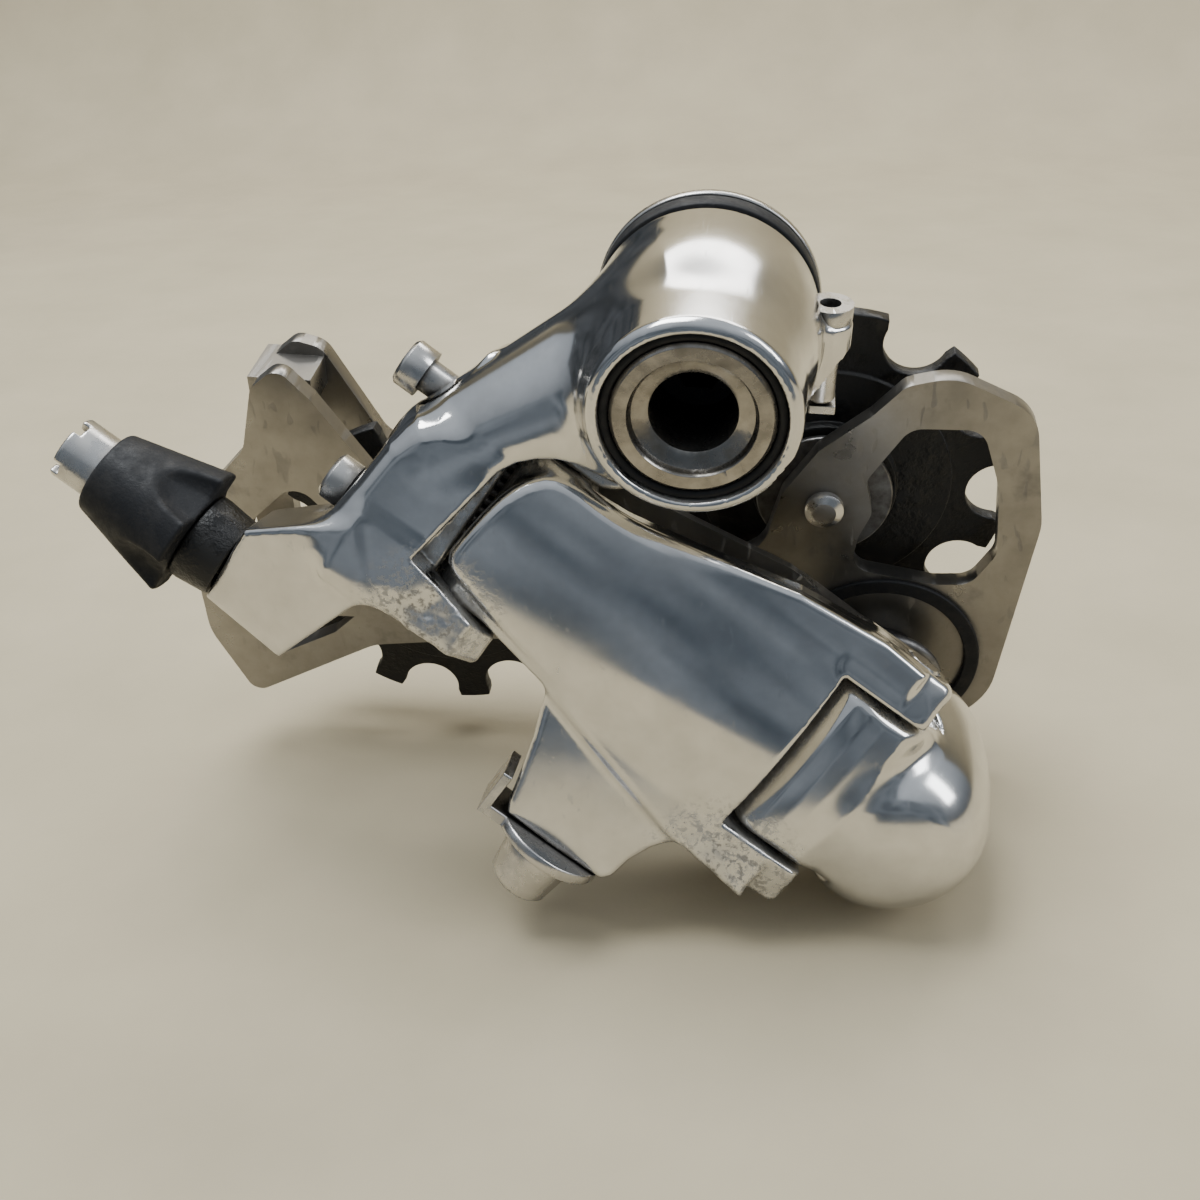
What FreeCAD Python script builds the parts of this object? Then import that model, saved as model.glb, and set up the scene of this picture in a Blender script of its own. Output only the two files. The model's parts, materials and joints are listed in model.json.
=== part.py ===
"""Rear bicycle derailleur, short cage, slant parallelogram, as a parametric assembly.

Lengths are millimetres.  Three frames are used:
  side frame  x forward, y up, z outboard, origin where the hanger bolt meets the hanger face
  link frame  x along the parallelogram links, y inboard, z up along the link pins,
              origin at the outer link's knuckle pin
  part frame  +Z up as the derailleur lies on a bench, same origin as the side frame
"""
import FreeCAD
import Part
import Sketcher
import math
import os

Vec = FreeCAD.Vector
DOC = FreeCAD.newDocument("rear_derailleur")

# ------------------------------------------------------------------ driving dimensions
TABLE = [
    ("lie_pitch", 9.1, "tilt about X from the bike's plane to the bench"),
    ("lie_roll", 3.5, "tilt about Y from the bike's plane to the bench"),
    ("link_yaw", -31.3, "link frame: turn about the side frame's z"),
    ("link_pitch", -10.8, "link frame: turn about its own y"),
    ("link_roll", -108.3, "link frame: turn about its own x"),
    ("pivot_fore", -21.2, "outer knuckle pin, forward of the hanger bolt"),
    ("pivot_up", -22.9, "outer knuckle pin, above the hanger bolt"),
    ("pivot_out", 21.0, "outer knuckle pin, outboard of the hanger face"),
    ("link_len", 46.4, "pin spacing along a link"),
    ("pair_back", -5.07, "inner pin from outer pin, along the links"),
    ("pair_in", 10.88, "inner pin from outer pin, inboard"),
    ("pin_rad", 2.2, "link pin"),
    ("run_gap", 0.05, "running clearance on a radius"),
    ("open_pin_gap", 0.15, "clearance on a radius at the inner link's cage-end pin"),
    ("bolt_rad", 5.0, "hanger thread M10"),
    ("bolt_thread_len", 9.0, "hanger thread length"),
    ("axle_rad", 6.5, "hanger bolt shoulder"),
    ("bolt_head_rad", 8.5, "hanger bolt head"),
    ("bolt_head_front", 28.3, "hanger bolt head front"),
    ("bolt_bore_rad", 4.6, "hanger bolt front bore"),
    ("bolt_bore_floor", 17.0, "floor of the hanger bolt's front bore"),
    ("hex_key_rad", 2.9, "hanger bolt hex socket, centre to corner"),
    ("knuckle_back", 3.9, "rear face of the bracket knuckle"),
    ("knuckle_front", 28.8, "front face of the bracket knuckle"),
    ("knuckle_back_rad", 12.6, "bracket knuckle radius at the rear"),
    ("knuckle_front_rad", 11.1, "bracket knuckle radius at the front"),
    ("plate_disc_rad", 12.9, "stop plate disc"),
    ("plate_sheet", 1.2, "stop plate sheet"),
    ("b_spring_room", 9.4, "spring pocket of the bracket knuckle"),
    ("b_bush_rad", 7.72, "front bush seat of the bracket knuckle"),
    ("b_head_room", 9.65, "counterbore round the hanger bolt head"),
    ("swing_axle_fore", 25.9, "cage axle, forward of the hanger bolt"),
    ("swing_axle_up", -53.2, "cage axle, above the hanger bolt"),
    ("swing_axle_rad", 5.0, "cage axle"),
    ("p_flange_rad", 13.6, "swing knuckle flange"),
    ("p_body_rad", 12.2, "swing knuckle body"),
    ("p_back", -1.0, "rear face of the swing knuckle"),
    ("p_cavity_rad", 8.8, "swing knuckle spring pocket"),
    ("p_cavity_end", 17.5, "bottom of the spring pocket"),
    ("p_bush_rad", 6.42, "bush seat of the swing knuckle"),
    ("teeth", 11, "pulley teeth"),
    ("chain_pitch", 12.7, "chain pitch"),
    ("roller_rad", 4.1, "tooth gap radius"),
    ("tooth_height", 1.7, "tooth tip above the pitch circle"),
    ("pulley_mid", -9.3, "pulley plane"),
    ("tooth_wide", 2.2, "pulley width at the teeth"),
    ("cage_span", 56.0, "distance between the pulley centres"),
    ("cage_angle", 200.0, "direction from guide pulley to tension pulley"),
    ("guide_fore", 16.1, "guide pulley, forward of the hanger bolt"),
    ("guide_up", -29.4, "guide pulley, above the hanger bolt"),
    ("cage_sheet", 2.6, "cage plate thickness"),
    ("outer_plate_face", -1.9, "outer face of the outer cage plate"),
    ("inner_plate_face", -14.1, "pulley side of the inner cage plate"),
    ("pulley_bolt_rad", 2.5, "pulley bolts M5"),
    ("barrel_down", -20.5, "cable barrel axis below the pin plane origin"),
    ("barrel_rad", 2.5, "cable barrel thread"),
    ("screw_rad", 2.0, "limit screws M4"),
    ("link_wall", 3.4, "outer link wall"),
    ("lug_fore", 13.6, "tension screw, forward of the hanger bolt"),
    ("lug_out", 6.6, "tension screw, outboard of the hanger face"),
    ("lug_low", -8.0, "lower end of the tension screw's lug"),
    ("lug_high", 1.2, "upper end of the tension screw's lug"),
    ("lug_screw_rad", 1.6, "tension screw"),
    ("anchor_along", 24.9, "cable anchor bolt, along the outer link"),
    ("anchor_in", -0.6, "cable anchor bolt, inboard of the outer pin"),
    ("anchor_rad", 2.5, "cable anchor bolt M5"),
    ("cap_rad", 8.8, "pulley dust cap"),
]


class Dim:
    """A length together with the sheet expression that gives it."""

    def __init__(self, value, text):
        self.value = float(value)
        self.text = text

    def _join(self, other, sign, value):
        return Dim(value, "(%s %s %s)" % (self.text, sign, as_dim(other).text))

    def __add__(self, other):
        return self._join(other, "+", self.value + as_dim(other).value)

    def __sub__(self, other):
        return self._join(other, "-", self.value - as_dim(other).value)

    def __mul__(self, other):
        return self._join(other, "*", self.value * as_dim(other).value)

    def __radd__(self, other):
        return as_dim(other) + self

    def __rsub__(self, other):
        return as_dim(other) - self

    def __neg__(self):
        return 0.0 - self


def as_dim(number):
    """A plain number as a Dim with a constant expression."""
    return number if isinstance(number, Dim) else Dim(number, "%.6g" % number)


def fill_sheet():
    """The spreadsheet of driving dimensions, and the same names as Dims."""
    sheet = DOC.addObject("Spreadsheet::Sheet", "Dimensions")
    dims = {}
    for row, (name, value, note) in enumerate(TABLE, start=1):
        sheet.set("A%d" % row, note)
        sheet.set("B%d" % row, str(value))
        sheet.setAlias("B%d" % row, name)
        dims[name] = Dim(value, "Dimensions." + name)
    DOC.recompute()
    return dims


D = fill_sheet()


def val(name):
    """The number in a cell of the sheet."""
    return D[name].value


def bind(obj, prop, dim):
    """Set a property from the sheet."""
    obj.setExpression(prop, as_dim(dim).text)


# ------------------------------------------------------------------ frames
SIDE = FreeCAD.Placement(Vec(0, 0, 0), FreeCAD.Rotation(Vec(1, 0, 0), 90))
LIE = FreeCAD.Placement(
    Vec(0, 0, 0),
    FreeCAD.Rotation(Vec(0, 1, 0), val("lie_roll")) * FreeCAD.Rotation(Vec(1, 0, 0), val("lie_pitch")),
)
LINK = FreeCAD.Placement(
    Vec(val("pivot_fore"), val("pivot_up"), val("pivot_out")),
    FreeCAD.Rotation(val("link_yaw"), val("link_pitch"), val("link_roll")),
)


def shift(x, y, z=0.0):
    """A plain move."""
    return FreeCAD.Placement(Vec(x, y, z), FreeCAD.Rotation())


def turn(axis, angle):
    """A plain turn about an axis through the origin."""
    return FreeCAD.Placement(Vec(0, 0, 0), FreeCAD.Rotation(axis, angle))


X_AXIS, Y_AXIS, Z_AXIS = Vec(1, 0, 0), Vec(0, 1, 0), Vec(0, 0, 1)
BARREL = LINK * shift(0, 0, val("barrel_down")) * turn(Y_AXIS, -90)
LIMIT_HEIGHTS = (11.0, -5.2)
LIMIT_SCREWS = [LINK * shift(0, 1.6, height) * turn(Y_AXIS, -90) for height in LIMIT_HEIGHTS]
LUG = shift(val("lug_fore"), 0, val("lug_out")) * turn(X_AXIS, -90)
INNER_PIN = LINK * shift(val("pair_back"), val("pair_in"))
P_AXIS = shift(val("swing_axle_fore"), val("swing_axle_up"))
LOCK_SCREW = P_AXIS * shift(0, 0, 21.2) * turn(Z_AXIS, -20) * turn(Y_AXIS, 90)
NODES = []


def keep(obj, name, place=None):
    """Make a top object a sub-part: name it and carry it from its home frame to the part frame."""
    obj.Label = name
    obj.Placement = LIE * SIDE * (place or FreeCAD.Placement())
    NODES.append(obj)
    return obj


# ------------------------------------------------------------------ sketch and feature helpers
def new_body(name):
    return DOC.addObject("PartDesign::Body", name)


def sketch_on(body, role, offset=None):
    """A sketch on one of the body's own origin planes, raised by offset."""
    plane = [f for f in body.Origin.OriginFeatures if f.Role == role][0]
    sketch = body.newObject("Sketcher::SketchObject", body.Name + "_sketch")
    sketch.AttachmentSupport = [(plane, "")]
    sketch.MapMode = "FlatFace"
    if offset is not None:
        bind(sketch, "AttachmentOffset.Base.z", offset)
    return sketch


def pin_point(sketch, geo, pos, x, y):
    """Hold a sketch point at x, y from the sketch origin."""
    for kind, number, axis in (("DistanceX", x, -2), ("DistanceY", y, -1)):
        dim = as_dim(number)
        if abs(dim.value) < 1e-9:
            sketch.addConstraint(Sketcher.Constraint("PointOnObject", geo, pos, axis))
            continue
        index = sketch.addConstraint(Sketcher.Constraint(kind, -1, 1, geo, pos, dim.value))
        if isinstance(number, Dim):
            sketch.setExpression("Constraints[%d]" % index, dim.text)


def draw_polygon(sketch, points):
    """A closed outline of straight edges whose corners are held by the sheet."""
    values = [(as_dim(x).value, as_dim(y).value) for x, y in points]
    count = len(values)
    for i in range(count):
        (x0, y0), (x1, y1) = values[i], values[(i + 1) % count]
        sketch.addGeometry(Part.LineSegment(Vec(x0, y0, 0), Vec(x1, y1, 0)))
    for i in range(count):
        sketch.addConstraint(Sketcher.Constraint("Coincident", i, 2, (i + 1) % count, 1))
    for i, (x, y) in enumerate(points):
        pin_point(sketch, i, 1, x, y)


def draw_circle(sketch, x, y, radius):
    """A circle held at x, y with its radius from the sheet."""
    cx, cy = as_dim(x).value, as_dim(y).value
    geo = sketch.addGeometry(Part.Circle(Vec(cx, cy, 0), Z_AXIS, as_dim(radius).value))
    pin_point(sketch, geo, 3, x, y)
    index = sketch.addConstraint(Sketcher.Constraint("Radius", geo, as_dim(radius).value))
    if isinstance(radius, Dim):
        sketch.setExpression("Constraints[%d]" % index, radius.text)


def draw_rounded(sketch, points, corner):
    """A closed outline through the points with every corner rounded by an arc.

    A point may carry its own corner radius as a third number."""
    pts = [Vec(p[0], p[1], 0) for p in points]
    radii = [p[2] if len(p) > 2 else corner for p in points]
    count = len(pts)
    starts, ends, mids = [], [], []
    for i in range(count):
        before, here, after = pts[i - 1], pts[i], pts[(i + 1) % count]
        back = (before - here).normalize()
        ahead = (after - here).normalize()
        half = back.getAngle(ahead) / 2
        room = 0.48 * min((before - here).Length, (after - here).Length)
        reach = min(radii[i] / math.tan(half), room)
        radius = reach * math.tan(half)
        inward = (back + ahead).normalize()
        centre = here + inward * (radius / math.sin(half))
        starts.append(here + back * reach)
        ends.append(here + ahead * reach)
        mids.append(centre - inward * radius)
    for i in range(count):
        sketch.addGeometry(Part.Arc(starts[i], mids[i], ends[i]))
        sketch.addGeometry(Part.LineSegment(ends[i], starts[(i + 1) % count]))


def pad(body, sketch, length, reverse=False):
    feature = body.newObject("PartDesign::Pad", body.Name + "_pad")
    feature.Profile = sketch
    feature.Reversed = reverse
    bind(feature, "Length", length)
    return feature


def pocket(body, sketch, length, reverse=False):
    feature = body.newObject("PartDesign::Pocket", body.Name + "_pocket")
    feature.Profile = sketch
    feature.Reversed = reverse
    bind(feature, "Length", length)
    return feature


def turned(name, profile):
    """A body turned about its own z from (radius, height) points."""
    body = new_body(name)
    sketch = sketch_on(body, "XZ_Plane")
    draw_polygon(sketch, profile)
    feature = body.newObject("PartDesign::Revolution", name + "_turn")
    feature.Profile = sketch
    feature.ReferenceAxis = (sketch, ["V_Axis"])
    feature.Angle = 360
    return body


def ring_profile(inner, outer, low, high):
    return [(inner, low), (outer, low), (outer, high), (inner, high)]


def pin_profile(low, high):
    """A link pin with a chamfer at each end, a press fit in its ears."""
    rad = D["pin_rad"] - 0.02
    return [(0, low), (rad - 0.4, low), (rad, low + 0.4), (rad, high - 0.4), (rad - 0.4, high), (0, high)]


def slab(name, outline, low, thick, corner=1.0, role="XY_Plane", windows=(), holes=()):
    """A body of one rounded outline, from low upwards by thick, with windows and round holes."""
    body = new_body(name)
    sketch = sketch_on(body, role, low)
    draw_rounded(sketch, outline, corner)
    for window in windows:
        draw_rounded(sketch, window, 3.0)
    for x, y, radius in holes:
        draw_circle(sketch, x, y, radius)
    pad(body, sketch, thick)
    return body


def set_corner(obj, corner):
    """Put a primitive's origin at a point, from the sheet."""
    obj.Placement.Base = Vec(*[as_dim(c).value for c in corner])
    for axis, c in zip("xyz", corner):
        if isinstance(c, Dim):
            bind(obj, "Placement.Base." + axis, c)


def rod(name, radius, low, high, x=0.0, y=0.0):
    """A plain cylinder along z."""
    obj = DOC.addObject("Part::Cylinder", name)
    bind(obj, "Radius", radius)
    bind(obj, "Height", as_dim(high) - low)
    set_corner(obj, (x, y, low))
    return obj


def block(name, low, high):
    """A plain box between two corners."""
    obj = DOC.addObject("Part::Box", name)
    for prop, a, b in zip(("Length", "Width", "Height"), low, high):
        bind(obj, prop, as_dim(b) - a)
    set_corner(obj, low)
    return obj


def fuse(name, shapes):
    obj = DOC.addObject("Part::MultiFuse", name)
    obj.Shapes = shapes
    return obj


def cut(name, base, tools):
    obj = DOC.addObject("Part::Cut", name)
    obj.Base = base
    obj.Tool = tools[0] if len(tools) == 1 else fuse(name + "_tools", tools)
    return obj


def common(name, base, tool):
    obj = DOC.addObject("Part::Common", name)
    obj.Base = base
    obj.Tool = tool
    return obj


def placed(obj, place):
    """Carry a helper shape by place, which frees its placement from the sheet."""
    for path, _ in list(obj.ExpressionEngine):
        if path.lstrip(".").startswith("Placement"):
            obj.setExpression(path, None)
    obj.Placement = place * obj.Placement
    return obj


def wire_ring(name, radius, wire):
    """A closed ring of round section about z."""
    ring = DOC.addObject("Part::Torus", name)
    ring.Radius1 = radius
    ring.Radius2 = wire
    return ring


def coil(name, radius, wire, low, pitch, turns):
    """A helical spring about z."""
    helix = DOC.addObject("Part::Helix", name + "_helix")
    helix.Radius = radius
    helix.Pitch = pitch
    helix.Height = pitch * turns
    section = DOC.addObject("Part::Circle", name + "_wire")
    section.Radius = wire
    section.Placement = FreeCAD.Placement(Vec(radius, 0, 0), FreeCAD.Rotation(X_AXIS, 90))
    sweep = DOC.addObject("Part::Sweep", name)
    sweep.Sections = [section]
    sweep.Spine = (helix, ["Edge1"])
    sweep.Solid = True
    sweep.Frenet = True
    return sweep, shift(0, 0, low)


# ------------------------------------------------------------------ hanger bolt and stop plate
def mounting_bolt():
    """Hollow hanger bolt: M10 thread inboard, shoulder the knuckle turns on, wide front head."""
    body = turned("mounting_bolt", [
        (0, -D["bolt_thread_len"]),
        (D["bolt_rad"] - 0.6, -D["bolt_thread_len"]),
        (D["bolt_rad"], 0.8 - D["bolt_thread_len"]),
        (D["bolt_rad"], 0),
        (D["axle_rad"], 0),
        (D["axle_rad"], 25.0),
        (D["bolt_head_rad"], 25.0),
        (D["bolt_head_rad"], D["bolt_head_front"] - 0.4),
        (D["bolt_head_rad"] - 0.4, D["bolt_head_front"]),
        (6.7, D["bolt_head_front"]),
        (6.3, D["bolt_head_front"] - 0.9),
        (D["bolt_bore_rad"], D["bolt_head_front"] - 1.6),
        (D["bolt_bore_rad"], D["bolt_bore_floor"]),
        (0, D["bolt_bore_floor"]),
    ])
    sketch = sketch_on(body, "XY_Plane", D["bolt_bore_floor"])
    key = val("hex_key_rad")
    angles = [math.radians(60 * i) for i in range(6)]
    draw_polygon(sketch, [(key * math.cos(a), key * math.sin(a)) for a in angles])
    pocket(body, sketch, 6.0)
    return keep(body, "mounting_bolt")


def stop_plate():
    """Disc between knuckle and hanger, with the tab that the tension screw bears on."""
    disc = rod("stop_disc", D["plate_disc_rad"], 0, D["plate_sheet"])
    ear = block("stop_ear", (6.0, -10.3, 0), (15.4, -8.6, D["plate_sheet"]))
    tab = block("stop_tab", (12.3, -10.3, 0), (15.4, -9.2, 7.6))
    bore = rod("stop_bore", D["axle_rad"] + D["run_gap"], -1, 5)
    return keep(cut("stop_plate", fuse("stop_sheet", [disc, ear, tab]), [bore]), "stop_plate")


# ------------------------------------------------------------------ bracket knuckle
def pin_ear(name, low, high):
    """Ear that carries both knuckle pins, in the link frame."""
    outline = [
        (-14, -6.2), (1.4, -6.0), (4.6, -2.5), (4.4, 3.4),
        (-0.9, 14.4), (-5.1, 15.2), (-9.3, 13.4), (-14, 6.2)]
    return slab(name, outline, low, as_dim(high) - low, corner=3.0)


def b_knuckle():
    """Forged bracket: knuckle barrel, arm down to the pin ears, barrel boss and screw lug."""
    barrel = turned("knuckle_barrel", [
        (0, D["knuckle_back"]),
        (D["knuckle_back_rad"] - 0.3, D["knuckle_back"]),
        (D["knuckle_back_rad"], D["knuckle_back"] + 0.3),
        (D["knuckle_back_rad"], D["knuckle_back"] + 3.0),
        (D["knuckle_front_rad"], D["knuckle_front"] - 0.9),
        (D["knuckle_front_rad"] - 0.9, D["knuckle_front"]),
        (0, D["knuckle_front"]),
    ])
    spine_outline = [
        (-7.8, -12), (-7.8, -7), (-5.3, 12), (4, 17), (4, 24), (-4, 28), (-9, 23),
        (-14.6, 19), (-16.8, 14), (-17.6, 7), (-17.8, -4), (-19.6, -9), (-21, -12)]
    neck_outline = [(-5.3, 14), (4, 17), (4, 34), (-9.4, 35.4), (-13.3, 25.6), (-16.6, 15.6), (-10, 12)]
    boss_outline = [(-20, -7.6), (-25.3, -14.6), (-25.3, -25.6), (-14.9, -26.4), (-10.6, -13), (-8, -9)]
    spine = slab("arm_spine", spine_outline, -6.3, 12.6, 1.5, role="XZ_Plane")
    neck = slab("arm_neck", neck_outline, -9.0, 9.0, 1.5, role="XZ_Plane")
    boss = slab("barrel_boss", boss_outline, -6.0, 12.0, 1.5, role="XZ_Plane")
    lower = pin_ear("lower_ear", -12.4, -8.1)
    upper = pin_ear("upper_ear", 13.2, 18.6)
    lug = placed(rod("screw_lug", 2.7, val("lug_low"), D["lug_high"]), LUG)
    root_low = (8.0, D["lug_low"] + 0.4, 4.2)
    root_high = (D["lug_fore"], D["lug_high"] - 0.4, 9.0)
    lug_root = block("screw_lug_root", root_low, root_high)
    for shape in (spine, neck, boss, lower, upper):
        placed(shape, LINK)
    solid = fuse("knuckle_solid", [barrel, spine, neck, boss, lower, upper, lug, lug_root])

    back = D["knuckle_back"]
    tools = [
        rod("hanger_side", 14.0, -6, back),
        rod("spring_pocket", D["b_spring_room"], back - 1, 20.5),
        rod("bush_seat", D["b_bush_rad"], 20.0, 25.5),
        rod("head_seat", D["b_head_room"], 24.8, 31.0),
        placed(rod("lug_bore", D["lug_screw_rad"] + D["run_gap"], -12, 12), LUG),
        placed(rod("lug_spotface", 2.9, D["lug_high"] - 0.1, 12), LUG),
        placed(rod("outer_pin_bore", D["pin_rad"], -13.0, 19.2), LINK),
        placed(rod("inner_pin_bore", D["pin_rad"], -13.0, 19.2), INNER_PIN),
        placed(rod("barrel_bore", D["barrel_rad"] + D["run_gap"], 5, 30), BARREL),
        placed(block("link_room", (-5.2, -12, -8.1), (14, 19, 13.2)), LINK),
    ]
    for place in LIMIT_SCREWS:
        tools.append(placed(rod("limit_bore", D["screw_rad"] + D["run_gap"], 2, 26), place))
        tools.append(placed(rod("limit_spotface", 3.2, 18.5, 30), place))
    return keep(cut("b_knuckle", solid, tools), "b_knuckle")


def knuckle_bearings():
    """Bushes, seals and coil spring inside and behind the bracket knuckle."""
    bore = D["axle_rad"] + D["run_gap"]
    rear_seal = ring_profile(9.6, 12.75, D["plate_sheet"] + 0.15, D["knuckle_back"] - 0.02)
    keep(turned("b_front_bush", ring_profile(bore, D["b_bush_rad"] - 0.02, 20.55, 24.75)), "b_front_bush")
    keep(turned("b_rear_bush", ring_profile(bore, D["b_spring_room"] - 0.05, 4.1, 6.0)), "b_rear_bush")
    keep(turned("b_rear_seal", rear_seal), "b_rear_seal")
    keep(wire_ring("b_front_seal", 9.1, 0.5), "b_front_seal", shift(0, 0, 27.7))
    spring, place = coil("b_spring", 8.1, 0.95, 8.2, 2.3, 4.5)
    keep(spring, "b_spring", place)


def screws():
    """Tension screw in the knuckle's lug and the two limit screws in the arm."""
    rad = D["lug_screw_rad"]
    screw = turned("b_tension_screw", [
        (0, -8.9), (rad - 0.5, -8.9), (rad, -8.4), (rad, 1.4), (rad + 1.0, 1.4), (rad + 1.0, 3.2),
        (rad - 0.4, 3.2), (rad - 0.4, 2.2), (0, 2.2)])
    keep(screw, "b_tension_screw", LUG)
    for name, place in zip(("high_limit_screw", "low_limit_screw"), LIMIT_SCREWS):
        screw = turned(name, [
            (0, 5.4), (1.2, 5.4), (D["screw_rad"], 6.2), (D["screw_rad"], 18.7), (2.9, 18.7),
            (2.9, 21.2), (2.5, 21.6), (1.5, 21.6), (1.5, 19.8), (0, 19.8)])
        keep(screw, name, place)


def knuckle_pins():
    """The two pins pressed into the bracket's ears."""
    for name, place in (("link_pin_outer_b", LINK), ("link_pin_inner_b", INNER_PIN)):
        keep(turned(name, pin_profile(-12.6, 18.8)), name, place)


# ------------------------------------------------------------------ cable barrel
def cable_barrel():
    """Threaded cable barrel, its finger cover and the detent collar with its spring ring."""
    thread = D["barrel_rad"]
    barrel = turned("cable_barrel", [
        (0.8, 14.5), (thread - 0.4, 14.5), (thread, 15.0), (thread, 32.0), (3.95, 32.0),
        (3.95, 47.6), (3.6, 48.0), (2.6, 48.0), (2.6, 40.0), (0.8, 38.5)])
    keep(barrel, "cable_barrel", BARREL)
    collar = turned("barrel_collar", [
        (4.0, 25.5), (5.1, 25.5), (5.5, 29.4), (5.5, 30.4), (3.5, 30.4), (3.5, 29.2), (4.0, 29.0)])
    keep(collar, "barrel_collar", BARREL)
    keep(wire_ring("barrel_spring_ring", 3.25, 0.45), "barrel_spring_ring", BARREL * shift(0, 0, 27.3))
    barrel_cover()


def barrel_cover():
    """Tapered finger cover of the barrel with scallops all round."""
    body = turned("barrel_cover", [
        (4.0, 30.6), (8.1, 30.6), (8.3, 31.2), (8.3, 33.6),
        (7.6, 34.4), (6.9, 38.5), (5.3, 43.0), (4.0, 43.2)])
    sketch = sketch_on(body, "XY_Plane", 30.0)
    draw_circle(sketch, 10.6, 0, 4.4)
    scallop = pocket(body, sketch, 11.0, reverse=True)
    pattern = body.newObject("PartDesign::PolarPattern", "scallops")
    pattern.Originals = [scallop]
    pattern.Axis = (sketch, ["N_Axis"])
    pattern.Angle = 360
    pattern.Occurrences = 6
    body.Tip = pattern
    keep(body, "barrel_cover", BARREL)


# ------------------------------------------------------------------ links
def outer_link():
    """Outer link: broad wall with top and bottom flanges, ears at the cage end and a cable lug."""
    top_edge = [(0.4, 12.2), (8.9, 12.5), (17.3, 14.3), (29.5, 17.4), (40.5, 18.6), (46.4, 18.4)]
    bottom_edge = [(46.4, -17.0), (41, -16.4), (34.5, -15.4), (12.5, -9.4), (1.4, -7.1)]
    fork = [
        (50.6, 15.5), (50.6, 12.5), (39.0, 12.5), (39.0, -2),
        (37.6, -10.1), (50.6, -10.1), (50.6, -13.5)]
    wall_outline = [(-5, -4.6), (-4.2, 3.2), (-2.9, 8.2)] + top_edge + fork + bottom_edge + [(-3.6, -6.9)]
    flange_outline = [(-2.5, 8)] + top_edge + bottom_edge[:-1] + [(6.5, -8.0), bottom_edge[-1], (-2.5, -6.9)]
    lug_outline = [
        (13.6, -8.6), (16.2, -18), (17.9, -24.4), (18.6, -25.6),
        (32.2, -25.6), (33.6, -20.0), (36.4, -14.5), (30, -9)]
    ear_outline = [(38, -6.4), (47.0, -6.4), (51.0, -3.5), (50.9, 2.5), (47.0, 4.6), (38, 3.0)]
    wall = slab("link_wall", wall_outline, 3.1, D["link_wall"], 1.2, role="XZ_Plane")
    flange = slab("link_flange", flange_outline, -0.5, 4.0, 1.2, role="XZ_Plane")
    lug = slab("cable_lug", lug_outline, -3.0, 8.4, 1.2, role="XZ_Plane")
    barrel = rod("link_barrel", 4.4, -7.1, 12.9)
    upper = slab("link_ear_top", ear_outline, 12.5, 5.6, 2.5)
    lower = slab("link_ear_low", ear_outline, -16.2, 6.1, 2.5)
    solid = fuse("link_solid", [wall, flange, lug, barrel, upper, lower])
    hollow_outline = [
        (5.2, 9.6), (17.3, 11.2), (29.5, 14.3), (36.0, 15.2),
        (36.0, -11.5), (29, -11.0), (12.5, -6.6), (5.2, -5.0)]
    tools = [
        slab("link_hollow", hollow_outline, -4.0, 7.0, 1.5, role="XZ_Plane"),
        block("tongue_room", (39.0, -5.8, -10.1), (60, 12, 12.5)),
        rod("outer_b_bore", D["pin_rad"] + D["run_gap"], -10, 16),
        rod("outer_p_bore", D["pin_rad"], -22, 22, D["link_len"], 0),
        rod("anchor_thread", D["anchor_rad"] + D["run_gap"], -30, -14.0, D["anchor_along"], D["anchor_in"]),
    ]
    keep(cut("outer_link", solid, tools), "outer_link", LINK)
    pin_place = LINK * shift(val("link_len"), 0)
    keep(turned("link_pin_outer_p", pin_profile(-16.5, 18.3)), "link_pin_outer_p", pin_place)


def cable_anchor():
    """Clamp plate with its bent tab, and the anchor bolt with a tapered socket head."""
    along, inboard, rad = D["anchor_along"], D["anchor_in"], D["anchor_rad"]
    plate = rod("anchor_disc", 7.2, -27.2, -25.75, along, inboard)
    tab = block("anchor_tab", (15.2, -4.2, -27.2), (16.4, 3.0, -21.2))
    foot = block("anchor_foot", (15.2, -4.2, -27.2), (20.0, 3.0, -25.75))
    bore = rod("anchor_bore", rad + 0.1, -30, -20, along, inboard)
    sheet = fuse("anchor_sheet", [plate, tab, foot])
    keep(cut("cable_anchor_plate", sheet, [bore]), "cable_anchor_plate", LINK)
    bolt = turned("cable_anchor_bolt", [
        (0, -14.4), (rad - 0.4, -14.4), (rad, -14.9), (rad, -27.3), (4.6, -27.3), (4.6, -28.6),
        (3.9, -33.3), (3.3, -33.9), (2.6, -33.9), (2.6, -30.9), (0, -30.9)])
    keep(bolt, "cable_anchor_bolt", LINK * shift(along.value, inboard.value))


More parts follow.
